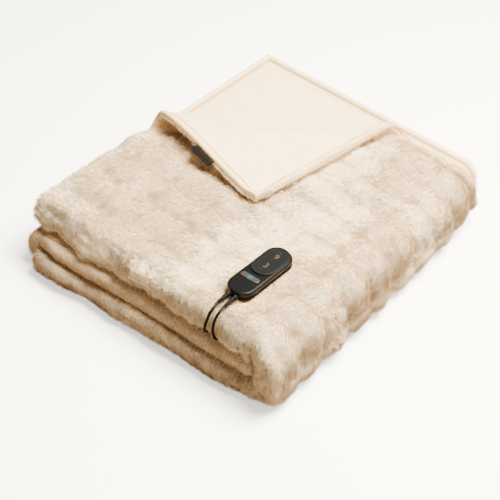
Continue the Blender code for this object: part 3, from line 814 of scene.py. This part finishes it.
def gridNormals(outer, inner):
    alongX = np.gradient(outer, axis=0)
    alongY = np.gradient(outer, axis=1)
    normals = unit(np.cross(alongX, alongY))
    side = np.sum(normals * (outer - inner), axis=-1, keepdims=True)
    return np.where(side < 0, -normals, normals)


def growPile(name, corners, normals, material, density=1.0, long=1.0, shade=None, lift=0.0):
    # a flat kite for each hair: a root point, two shoulders and a tip
    look = pileLook
    rng = np.random.default_rng(look["seed"] + len(name))
    diagonals = np.cross(corners[:, 2] - corners[:, 0], corners[:, 3] - corners[:, 1])
    areas = 0.5 * np.linalg.norm(diagonals, axis=1)
    wanted = areas * look["perSquareMetre"] * density
    counts = np.floor(wanted + rng.random(len(wanted))).astype(int)
    face = np.repeat(np.arange(len(counts)), counts)
    count = len(face)
    u, v = rng.random((2, count, 1))
    weights = np.stack([(1 - u) * (1 - v), u * (1 - v), u * v, (1 - u) * v], 1)
    roots = (corners[face] * weights).sum(1)
    up = unit((normals[face] * weights).sum(1))

    # which way the hairs lean
    swirl = 2 * pi * smoothNoise(roots, look["swirlSize"], 5.0)
    stroke = look["swirl"] * np.stack([np.cos(swirl), np.sin(swirl), 0 * swirl], 1)
    stroke += np.add(look["stroke"], (0.0, 0.0, lift))
    clump = look["clump"]
    cells = np.floor(roots / clump)
    centre = (cells + 0.5 + look["clumpJitter"] * shifts(cells, 1.0, 2.0, 3.0)) * clump
    clumpTone = hashOf(cells, 9.0)
    pull = (centre - roots) * look["pull"] / clump
    stray = rng.normal(0.0, look["stray"], roots.shape)
    lean = stroke + pull + stray + look["tuft"] * shifts(cells, 4.0, 5.0, 6.0)
    lean = unit(lean - up * np.sum(lean * up, 1, keepdims=True))

    def varied(value, spread):
        least, more = look[spread]
        return value * (least + more * rng.random((count, 1)))

    # their shape
    tall = varied(look["long"] * long, "longSpread") * (0.82 + 0.36 * clumpTone[:, None])
    tilt = varied(look["lean"], "leanSpread")
    rise, run = up * tall * np.cos(tilt), lean * tall * np.sin(tilt)
    half = unit(np.cross(lean, up)) * varied(0.5 * look["wide"], "wideSpread")
    base = roots - up * look["sunk"]
    shoulder = base + 0.62 * rise + 0.36 * run
    points = np.stack([base, shoulder - half, base + rise + run, shoulder + half], 1)
    points = points.reshape(-1, 3)
    points[:, 2] = np.maximum(points[:, 2], 0.0004)  # none goes into the floor
    order = np.array([0, 3, 1, 1, 3, 2])
    loops = (np.arange(count)[:, None] * 4 + order).ravel()
    mesh = bpy.data.meshes.new(name)
    mesh.vertices.add(4 * count)
    mesh.vertices.foreach_set("co", points.astype(np.float32).ravel())
    mesh.loops.add(6 * count)
    mesh.polygons.add(2 * count)
    mesh.loops.foreach_set("vertex_index", loops.astype(np.int32))
    mesh.polygons.foreach_set("loop_start", np.arange(0, 6 * count, 3, dtype=np.int32))
    mesh.update()

    # their lightness and the place along the hair, for the material; shade takes painted shade
    # off the tone, or adds painted light where it is below zero
    dabs = np.maximum(smoothNoise(roots, 0.014, 3.0) - 0.60, 0.0)
    tone = look["tone"] + look["broadTone"] * (smoothNoise(roots, 0.030, 13.0) - 0.5)
    tone += look["clumpTone"] * (clumpTone - 0.5) - look["dabTone"] * dabs
    tone += rng.normal(0, look["hairTone"], count)
    if shade is not None:
        tone -= shade[face]
    tone = np.clip(tone, 0.03, 0.97)[:, None] + np.array([0.0, -0.012, 0.0, 0.012])
    along = np.tile([0.03, 0.62, 0.97, 0.62], (count, 1))
    spots = np.stack([tone, along], -1)[:, order]
    layer = mesh.uv_layers.new(name="OFBake")
    layer.uv.foreach_set("vector", spots.astype(np.float32).ravel())
    mesh.shade_smooth()
    bent = unit(up * 0.8 + lean * 0.25)
    mesh.normals_split_custom_set_from_vertices(np.repeat(bent, 4, axis=0).tolist())
    mesh.materials.append(material)
    print(name, count, "hairs")
    return ridePiece(name, mesh)


def turnedHem(plan, outer, inner):
    # the fleece's rolled hem on the turned corner's right side, where the fur wraps over it
    count = sum(step < pileLook["turnedHem"] for step in hemSteps)
    part = np.s_[:len(plan[-1]) + 1, :count + 1]
    ways = gridNormals(inner, outer)
    return [quadCorners(grid[part]).reshape(-1, 4, 3) for grid in (inner, ways)]


def makeFur(look, fleeceGrids):
    plan, outer, inner = furFaces()
    rows, corner, stations, lines = plan
    first = len(lines)
    body = addPiece(
        "furCloth", closedSheet("furCloth", outer, inner, first, corner),
        makeBackingMaterial(furColours), ["fur_face"], smoothUnder=None,
    )
    print("fur cloth made")

    valid = gridQuads(*outer.shape[:2], first, corner)[1]
    quadRun = np.array(["flap"] * first + [station.run for station in stations])[1:, None]
    quadSide = np.array([row.side for row in rows])[None, 1:]

    def quads(runs, sides):
        return valid & np.isin(quadRun, runs) & np.isin(quadSide, sides)

    corners, around = quadCorners(outer), quadCorners(gridNormals(outer, inner))
    middle = corners.mean(2)
    x, y, z = np.moveaxis(middle, 2, 0)
    halfWide, halfLong = look["handset"]
    under = (np.abs(x - handsetPlace[0]) < halfWide) & (np.abs(y - handsetPlace[1]) < halfLong)
    top = quads("top", "upper") & ~(under & (z > 0.12))
    wrap = quads("wrap", "upper") & (z > look["floor"])
    front = quads(["top", "wrap", "bottom"], "bend")
    front |= quads("bottom", "upper") & (y < look["hidden"])
    # the lower layer of the top fold and the turned corner show their pile along the edges only
    distances = hemDistances(*plan)[:-1, :-1]
    edge = quads("top", "lower") & (distances < look["lowerEdge"])
    edge |= quads("flap", "upper") & (distances < look["flapEdge"])

    # painted shade: the pile's tone is darker in the seams between the ribs, more so towards the
    # wrap
    shade = np.zeros(valid.shape)
    for i, j in zip(*np.nonzero(top | wrap)):
        place = Vector(middle[i, j])
        seam = (1.0 - ribShare(rows[j].share, place)) ** look["seamPower"]
        shade[i, j] = mix(0.3, 1.0, ease((place.x + 0.05) / 0.20)) * look["seamShade"] * seam
        # painted shade in the groove beside the top layer's back hem
        if i >= first:
            shade[i, j] += look["hemShade"] * hemGroove(stations[i - first], rows[j])
    # painted shade on the bottom roll's bend, painted light on the top roll's bend
    shade[quads("bottom", "bend")] = look["lowPaintedShade"]
    shade[quads("top", "bend")] = -look["highPaintedLight"]

    pile = makeFurMaterial(furColours)
    found = [
        growPile(name, corners[chosen], around[chosen], pile, density, long, shade[chosen])
        for name, chosen, density, long in (
            ("furPileTopLeft", top & (x <= look["split"]), 1.0, 1.0),
            ("furPileTopRight", top & (x > look["split"]), 1.0, 1.0),
            ("furPileWrap", wrap, 1.0, 1.0),
            ("furPileFront", front, 0.95, 0.95),
            ("furPileLeft", quads("turn", ["upper", "bend"]), 0.55, 0.85),
            ("furPileEdges", edge, 0.55, 0.70),
            ("furPileMiddle", quads("middle", "bend"), 1.1, 0.42),
        )
    ]
    strips, ways = rimStrips(outer, inner, first, corner)
    backHem = first + sum(station.run == "top" for station in stations)
    found += [
        growPile("furPileHems", strips[backHem:], ways[backHem:], pile, 1.2, 0.55),
        growPile("furPileBackHem", strips[:backHem], ways[:backHem], pile, 2.6, 0.90, lift=2.4),
        growPile("furPileTurnedHem", *turnedHem(*fleeceGrids), pile, 1.1, 0.50),
    ]


# fleece: brushed polyester knit, so it is matt with a pale fuzz at grazing angles

fleeceLook = {
    "fuzzMm": 1.6, "softMm": 18.0, "pale": "e1cba3", "deep": "d3b888", "seam": "8c6238",
    # strength and width of the stitched line with painted shade in its groove, of the painted
    # shade at the cut edge and of the painted shade beside the fold
    "stitched": (0.85, 0.0024), "edge": (0.32, 0.0036), "fold": (0.14, 0.013), "foldAt": 0.066,
}


def makeFleeceMaterial(look):
    material, shader = newMaterial("brushedPolyesterFleece", {
        "Roughness": 0.92, "Specular IOR Level": 0.15, "Sheen Weight": 0.35,
        "Sheen Roughness": 0.45, "Sheen Tint": hexColour("fffaf0"),
    })
    fuzz, soft = (
        onObject(material, "TexNoise", {"Scale": 1000.0 / look[size], "Detail": 3.0, **more})
        for size, more in (("fuzzMm", {"Roughness": 0.65}), ("softMm", {}))
    )
    blend = addNode(
        material, "MixRGB", {"Fac": 0.45}, {"Color1": (fuzz, "Fac"), "Color2": (soft, "Fac")}
    )
    pattern = blend, "Color"
    stops = [(0.32, look["deep"]), (0.68, look["pale"])]
    tone = addNode(material, "ValToRGB", {"stops": stops}, {"Fac": pattern})
    # the stitched line, with painted shade in its groove, at the cut edge and beside the fold,
    # pulls the tone towards the seam colour
    sewn = addNode(material, "Attribute", {"attribute_name": "sewn"})
    dyed = addNode(
        material, "MixRGB", {"Color2": hexColour(look["seam"])},
        {"Fac": (sewn, "Fac"), "Color1": (tone, "Color")},
    )
    setNode(shader, {}, {"Base Color": (dyed, "Color")})
    patternSurface(material, shader, pattern, bump=(0.35, 0.0009))
    return material


def makeFleece(look, fleeceGrids):
    plan, outer, inner = fleeceGrids
    corner, lines = plan[1], plan[3]

    def band(distances, strengthAndWidth):
        strength, wide = strengthAndWidth
        return strength * np.exp(-((distances / wide) ** 2))

    distances = hemDistances(*plan)
    # the stitched line with painted shade in its groove, and painted shade along the cut edge
    sewn = band(distances - cloth["hemWide"], look["stitched"]) + band(distances, look["edge"])
    # painted shade: a soft darkening beside the ridge where the corner turns back
    past = np.array(lines[::-1])[:, None] * foldReach
    sewn[:len(lines), :corner + 1] += band(past - look["foldAt"], look["fold"])
    piece = addPiece(
        "fleeceCloth", closedSheet("fleeceCloth", outer, inner, len(lines), corner, sewn),
        makeFleeceMaterial(look), ["fleece_back"], smoothUnder=None,
    )
    print("fleece cloth made")


# leads: extruded PVC flex, smooth and black with only a faint gloss

leadLook = {
    "thick": 0.0042, "apart": 0.0130, "high": 0.0080,
    "behind": 0.0856,  # the boots' ends, from the handset's middle
    "coil": (0.010, 0.3535, 0.0), "coilRadius": 0.0250, "perTurn": 30, "floor": 0.0027,
    "between": 0.00005,  # the turns' distance from each other
    "joins": radians(57), "leaves": radians(144),
    "tieAt": radians(-70), "tieWide": 0.0030, "tieThick": 0.0004,
    "twistLong": 0.0115, "twistThick": 0.0011, "twistOut": 0.00062, "twistTurn": 0.62,
    "mainsRoute": (
        (0.1515, -0.2975, 0.1393), (0.1517, -0.3062, 0.1352), (0.1510, -0.3125, 0.1275),
        (0.1488, -0.3150, 0.1165), (0.1455, -0.3150, 0.1045), (0.1422, -0.3115, 0.0935),
        (0.1395, -0.3030, 0.0850), (0.1375, -0.2920, 0.0808), (0.1360, -0.2800, gapZ),
        (0.1325, -0.2450, gapZ), (0.1280, -0.1200, gapZ), (0.1280, 0.0400, gapZ),
        (0.1280, 0.2000, gapZ), (0.1280, 0.2950, gapZ), (0.1272, 0.3180, 0.0822),
        (0.1250, 0.3340, 0.0745), (0.1205, 0.3445, 0.0590), (0.1130, 0.3495, 0.0400),
        (0.1020, 0.3510, 0.0220), (0.0870, 0.3515, 0.0090), (0.0740, 0.3519, 0.0046),
        (0.0665, 0.3530, 0.0030), (0.0609, 0.3553, 0.0024), (0.0477, 0.3639, 0.0024),
        (0.0398, 0.3690, 0.0024),
    ),
    "blanketRoute": (
        (0.1642, -0.2985, 0.1393), (0.1646, -0.3080, 0.1350), (0.1645, -0.3145, 0.1270),
        (0.1643, -0.3175, 0.1160), (0.1648, -0.3175, 0.1040), (0.1658, -0.3135, 0.0930),
        (0.1670, -0.3040, 0.0848), (0.1680, -0.2920, 0.0808), (0.1685, -0.2800, gapZ),
        (0.1690, -0.2500, gapZ), (0.1690, -0.2050, gapZ), (0.1690, -0.1600, gapZ),
    ),
    "tailRoute": (
        (-0.0173, 0.3733, 0.0024), (-0.0237, 0.3641, 0.0024), (-0.0296, 0.3562, 0.0027),
        (-0.0362, 0.3508, 0.0037), (-0.0448, 0.3486, 0.0053), (-0.0530, 0.3481, 0.0065),
    ),
    "plugEnd": (-0.0614, 0.3480, 0.00685),
}
handsetAt = Vector((*handsetPlace, topZ + stack["deep"] + 0.0003))
handsetTurn = radians(-1.3)


def handsetSpot(x, y, z):
    return handsetAt + Matrix.Rotation(handsetTurn, 3, "Z") @ Vector((x, y, z))


def smoothRoute(points, spacing):
    knots = [Vector(p) for p in points]
    knots = [2 * knots[0] - knots[1], *knots, 2 * knots[-1] - knots[-2]]
    fine = []
    for a, b, c, d in zip(knots, knots[1:], knots[2:], knots[3:]):
        for k in range(16):
            t = k / 16
            square = (2 * a - 5 * b + 4 * c - d) * t**2
            cube = (3 * b - a - 3 * c + d) * t**3
            fine.append(0.5 * (2 * b + (c - a) * t + square + cube))
    fine.append(knots[-2])
    gone = [0.0, *np.cumsum([(b - a).length for a, b in zip(fine, fine[1:])])]
    wanted = np.linspace(0.0, gone[-1], max(2, round(gone[-1] / spacing)) + 1)
    return [Vector([np.interp(w, gone, [p[k] for p in fine]) for k in range(3)]) for w in wanted]


def coilRoute(look):
    # whole turns from the outside in, then out again on the layer above and down to the floor
    pitch, perTurn = look["thick"] + look["between"], look["perTurn"]

    def spot(angle, out, up):
        r = look["coilRadius"] + pitch * out
        away = Vector((r * cos(angle), r * sin(angle), look["floor"] + pitch * up))
        return Vector(look["coil"]) + away

    points = []
    turns = [(1, 0), (0, 0), (-1, 0), (-1, 1), (0, 1), (1, 1), (1, 1)]
    for start, end in zip(turns, turns[1:]):
        for k in range(perTurn):
            step = ease((k / perTurn - 0.72) / 0.28)
            angle = look["joins"] + 2 * pi * k / perTurn
            points.append(spot(angle, mix(start[0], end[0], step), mix(start[1], end[1], step)))
    for k in range(9):
        down = 0.5 * pi * ease(k / 8)
        angle = mix(look["joins"], look["leaves"], k / 8)
        points.append(spot(angle, 1 + 1.04 * sin(down), cos(down)))
    return points


def addStrands(name, routes, thick, material):
    curve = bpy.data.curves.new(name, "CURVE")
    curve.dimensions = "3D"
    curve.bevel_depth = 0.5 * thick
    curve.bevel_resolution = 3
    curve.use_fill_caps = True
    for route in routes:
        spline = curve.splines.new("POLY")
        spline.points.add(len(route) - 1)
        for spot, point in zip(spline.points, route):
            spot.co = (*point, 1.0)
        spline.use_smooth = True
    curve.materials.append(material)
    return ridePiece(name, curve)


def makeTie(look, material):
    # a flat coated wire round all the turns, its two ends twisted together on top
    thick, pitch = look["thick"], look["thick"] + look["between"]
    way = Vector((cos(look["tieAt"]), sin(look["tieAt"]), 0.0))
    side, up = Vector((-way.y, way.x, 0.0)), Vector((0.0, 0.0, 1.0))
    middle = Vector(look["coil"]) + way * look["coilRadius"] + up * (look["floor"] + 0.5 * pitch)
    work = bmesh.new()
    rings = []
    near, far = look["between"], look["tieThick"]
    for out, across in ((near, -1), (far, -1), (far, 1), (near, 1)):
        r = 0.5 * thick + out
        shift = side * (0.5 * across * look["tieWide"])
        rings.append([
            work.verts.new(middle + way * a + up * b + shift)
            for a, b in outline(2 * pitch + 2 * r, pitch + 2 * r, r, 6)
        ])
    bridge(work, rings + rings[:1])
    band = addPiece("coilTie", meshFrom("coilTie", work), material)
    start = middle + up * (0.5 * (pitch + thick) + look["tieThick"] + 0.0002)
    lean = (up - 1.3 * way + 0.5 * side).normalized()
    crossing = lean.cross(side).normalized()
    flat = crossing.cross(lean)
    ends = []
    for begin in (0.0, pi):
        angles = [begin + look["twistTurn"] * k for k in range(33)]
        ends.append([
            start + lean * (look["twistLong"] * k / 32)
            + look["twistOut"] * (flat * cos(angle) + crossing * sin(angle))
            for k, angle in enumerate(angles)
        ])
    return [band, addStrands("coilTieEnds", ends, look["twistThick"], material)]


def lengthOf(route):
    return sum((b - a).length for a, b in zip(route, route[1:]))


def makeLeads(look):
    flex, shader = newMaterial(
        "pvcFlex", {"IOR": 1.50, "Base Color": hexColour("050404"), "Specular IOR Level": 0.07}
    )
    grain = onObject(flex, "TexNoise", {"Scale": 900.0}), "Fac"
    patternSurface(flex, shader, grain, rough=(0.30, 0.46), bump=(0.12, 0.0002))
    aside = 0.5 * look["apart"]
    leaves = [handsetSpot(x, -look["behind"], look["high"]) for x in (-aside, aside)]
    starts = [[spot, spot + Vector((0.0, -0.0015, 0.0))] for spot in leaves]
    coil = coilRoute(look)
    route = smoothRoute([*starts[0], *look["mainsRoute"], coil[0]], 0.006)[:-1] + coil
    route += smoothRoute([*look["tailRoute"], look["plugEnd"]], 0.004)[1:]
    piece = addStrands("mainsFlex", [route], look["thick"], flex)
    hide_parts("mains_lead", "lead_coil", "lead_tail")
    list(makeTie(look, flex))
    print("mains lead", round(lengthOf(route), 3), "m")
    route = smoothRoute([*starts[1], *look["blanketRoute"]], 0.005)
    piece = addStrands("blanketFlex", [route], look["thick"], flex)
    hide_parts("blanket_lead")
    print("blanket lead", round(lengthOf(route), 3), "m")
    for name in ("plug_body", "plug_relief", "relief_mains", "relief_blanket"):
        dress(name, flex)
    # plug pins: nickel plated brass with fine scratches, so their gleam is blurred
    nickel, shader = newMaterial(
        "nickelPlatedBrass", {"Metallic": 1.0, "Base Color": hexColour("d8d4cc")}
    )
    grain = onObject(nickel, "TexNoise", {"Scale": 1500.0}), "Fac"
    patternSurface(nickel, shader, grain, rough=(0.18, 0.34))
    for name in ("plug_pin_1", "plug_pin_2"):
        dress(name, nickel)


makeLeads(leadLook)
fleeceGrids = fleeceFaces()
makeFur(pileLook, fleeceGrids)
makeFleece(fleeceLook, fleeceGrids)


# side label: woven polyester tape, so it is dull with a fine weave, its face left bare

labelLook = {"dark": "0a0807", "pale": "12100e", "weave": 420.0}


def makeLabel(look):
    material, shader = newMaterial(
        "wovenPolyesterTape", {"Roughness": 0.8, "Specular IOR Level": 0.08}
    )
    settings = {"Scale": look["weave"], "Distortion": 1.0, "Detail": 1.0}
    weave = onObject(material, "TexWave", settings), "Fac"
    stops = [(0.2, look["dark"]), (0.8, look["pale"])]
    patternSurface(material, shader, weave, stops, bump=(0.4, 0.0002))
    dress("side_label", material)


makeLabel(labelLook)
print("label dressed")


# handset: moulded ABS shells whose satin skin takes soft glints, a matt plate, a smoked window

handsetLook = {
    "wide": 0.047, "long": 0.122, "corner": 0.0210,
    "baseHigh": 0.0078, "coverHigh": 0.0080, "gap": 0.0003,
    "plate": (0.0415, 0.0695, 0.0022), "plateY": 0.0240, "plateCorner": 0.0195,
    "window": (0.0345, 0.0100, 0.0009), "windowY": -0.0230,
    # inset and height of the underside's rim
    "rim": ((0.0035, 0.0), (0.0021, 0.0003), (0.0010, 0.0010), (0.0003, 0.0022), (0.0, 0.0035)),
    "digit": "4e3420", "lit": "0ba0c8", "litAt": 0.0170, "litReach": (0.0008, 0.0066),
    "windowTones": ((0.0, "262422"), (0.5, "172022"), (1.0, "04161c")),
}
# ABS by its mould's finish: blasted gives the satin glow and matt the plate; the underside is a
# darker, duller copy as painted shade
plastics = {
    "mouldedAbsSatin": {
        "colour": "090a0c", "gloss": 0.07, "rough": (0.26, 0.38), "grainMm": 0.5, "bump": 0.08,
    },
    "mouldedAbsUnderside": {
        "colour": "060505", "gloss": 0.03, "rough": (0.50, 0.60), "grainMm": 0.5, "bump": 0.10,
    },
    "mouldedAbsMatt": {
        "colour": "0b0d0f", "gloss": 0.07, "rough": (0.40, 0.52), "grainMm": 0.35, "bump": 0.2,
    },
}
# what is printed on the key plate: words, x, y and size
prints = {
    "digitUpper": ("9", 0.0020, 0.0350, 0.0160),
    "digitLower": ("3", 0.0020, 0.0105, 0.0160),
    "markMore": ("+", 0.0010, 0.0462, 0.0070),
    "markUpperLess": ("-", 0.0, 0.0262, 0.0070),
    "markLess": ("-", 0.0, 0.0015, 0.0070),
}


def loft(name, wide, long, corner, levels, y=0.0, z=0.0):
    # rings of a rounded rectangle, each drawn in by inset at its height
    work = bmesh.new()
    rings = []
    for inset, height in levels:
        ring = outline(wide - 2 * inset, long - 2 * inset, max(corner - inset, 0.0004))
        rings.append([work.verts.new(handsetSpot(px, py + y, z + height)) for px, py in ring])
    bridge(work, rings)
    work.faces.new(list(reversed(rings[0])))
    work.faces.new(rings[-1])
    return meshFrom(name, work)


def rounded(radius, top, steps=6):
    # levels of a rim that rounds inwards at the top
    turns = [0.5 * pi * k / steps for k in range(steps + 1)]
    return [(radius * (1 - cos(a)), top - radius * (1 - sin(a))) for a in turns]


def makePlastic(name):
    look = plastics[name]
    material, shader = newMaterial(name, {
        "IOR": 1.54, "Base Color": hexColour(look["colour"]),
        "Specular IOR Level": look["gloss"],
    })
    grain = onObject(material, "TexNoise", {"Scale": 1000.0 / look["grainMm"]}), "Fac"
    patternSurface(material, shader, grain, rough=look["rough"], bump=(look["bump"], 0.00015))
    return material


def makeWindowMaterial(look):
    # smoked polycarbonate, moulded smooth: dark grey with a lit middle that fades outwards
    material, shader = newMaterial("smokedPolycarbonate", {
        "Roughness": 0.22, "IOR": 1.58, "Emission Color": hexColour(look["lit"]),
    })
    place = addNode(material, "TexCoord")
    centre = tuple(handsetSpot(0.0, look["windowY"], look["litAt"]))
    offset = addNode(
        material, "VectorMath", {"operation": "DISTANCE", 1: centre}, {0: (place, "Object")}
    )
    full, none = look["litReach"]
    glow = addNode(
        material, "MapRange",
        {
            "interpolation_type": "SMOOTHSTEP", "From Min": full, "From Max": none,
            "To Min": 1.0, "To Max": 0.0,
        },
        {"Value": (offset, "Value")},
    )
    setNode(shader, {}, {"Emission Strength": (glow, "Result")})
    patternSurface(material, shader, (glow, "Result"), look["windowTones"])
    return material


def addText(name, words, x, y, z, size, material):
    text = bpy.data.curves.new(name, "FONT")
    text.body = words
    text.size = size
    text.align_x = "CENTER"
    text.align_y = "CENTER"
    text.extrude = 0.00008
    text.offset = -0.016 * size  # thins the strokes
    holder = newObject(name, text)
    holder.location = handsetSpot(x, y, z)
    holder.rotation_euler = (0.0, 0.0, handsetTurn)
    bpy.context.view_layer.update()
    mesh = bpy.data.meshes.new_from_object(holder)
    mesh.transform(holder.matrix_world)
    bpy.data.objects.remove(holder)
    mesh.materials.clear()
    addPiece(name, mesh, material, smoothUnder=None)


def makeHandset(look):
    start = look["baseHigh"] + look["gap"]
    top = start + look["coverHigh"] + look["gap"]
    base = [*look["rim"], (0.0, look["baseHigh"] - 0.0006), (0.0004, look["baseHigh"])]
    cover = [(0.0004, 0.0), (0.0, 0.0006), *rounded(0.0032, look["coverHigh"])]
    plateWide, plateLong, plateHigh = look["plate"]
    plate = [(0.0, 0.0), *rounded(0.0012, plateHigh, 4), (0.0030, plateHigh - 0.0001)]
    windowWide, windowLong, windowHigh = look["window"]
    window = [(0.0, 0.0), *rounded(0.0006, windowHigh, 4)]
    satin, under, matt = (
        makePlastic("mouldedAbs" + skin) for skin in ("Satin", "Underside", "Matt")
    )
    shell = look["wide"], look["long"], look["corner"]
    face = plateWide, plateLong, look["plateCorner"], plate, look["plateY"], top
    light = windowWide, windowLong, 0.5 * windowLong, window, look["windowY"], top
    for name, shape, material, slot, node in (
        ("handsetUnderside", (*shell, base), under, "satin_plastic", "handset_base"),
        ("handsetCover", (*shell, cover, 0.0, start), satin, "satin_plastic", "handset_cover"),
        ("keyPlate", face, matt, "matte_plastic", "control_plate"),
        ("statusLight", light, makeWindowMaterial(look), "smoked_window", "status_window"),
    ):
        addPiece(name, loft(name, *shape), material, [node])
    # screen printed ink: it lies on the plate in a thin dull film
    paint = newMaterial("warmScreenPrint", {
        "Roughness": 0.55, "Base Color": hexColour(look["digit"]), "Specular IOR Level": 0.2,
    })[0]
    for name, (words, x, y, size) in prints.items():
        addText(name, words, x, y, top + plateHigh + 0.00006, size, paint)
    print("handset made")


makeHandset(handsetLook)


# studio: pale floor and soft lamps, the key from the back right

studio = {
    "floor": "ffffff", "bounce": "7a6e60",
    "key": {"from": (0.76, 0.37, 2.08), "size": 1.3, "power": 575.0, "colour": "fff6df"},
    "fill": {"from": (1.55, 0.35, 0.40), "size": 0.7, "power": 13.0, "colour": "fff1de"},
    "ambient": ("ffebd0", 0.44),  # colour and strength of the light from all round
    "target": (0.0, 0.0, 0.06),
}


def makeStudio(look):
    mesh = bpy.data.meshes.new("studioFloor")
    mesh.from_pydata([(-6, -6, 0), (6, -6, 0), (6, 6, 0), (-6, 6, 0)], [], [(0, 1, 2, 3)])
    # matt paper, white to the eye but of a warm grey to the light that it throws back
    material, shader = newMaterial(
        "matPaperFloor", {"Roughness": 0.9, "Emission Color": hexColour(look["floor"])}
    )
    path = addNode(material, "LightPath")
    tone = addNode(
        material, "MixRGB",
        {"Color1": hexColour(look["bounce"]), "Color2": hexColour(look["floor"])},
        {"Fac": (path, "Is Camera Ray")},
    )
    seen = {"Base Color": (tone, "Color"), "Emission Strength": (path, "Is Camera Ray")}
    setNode(shader, {}, seen)
    mesh.materials.append(material)
    newObject("studioFloor", mesh)
    for name in ("key", "fill"):
        lamp = bpy.data.lights.new(name, "AREA")
        lamp.size = look[name]["size"]
        lamp.energy = look[name]["power"]
        lamp.color = hexColour(look[name]["colour"])[:3]
        place = Vector(look[name]["from"])
        aimFrom(newObject(name, lamp), place, Vector(look["target"]) - place)
    world = bpy.data.worlds.new("studioAir")
    world.use_nodes = True
    colour, strength = look["ambient"]
    air = {"Color": hexColour(colour), "Strength": strength}
    setNode(world.node_tree.nodes["Background"], air)
    bpy.context.scene.world = world


makeStudio(studio)
print("studio made")
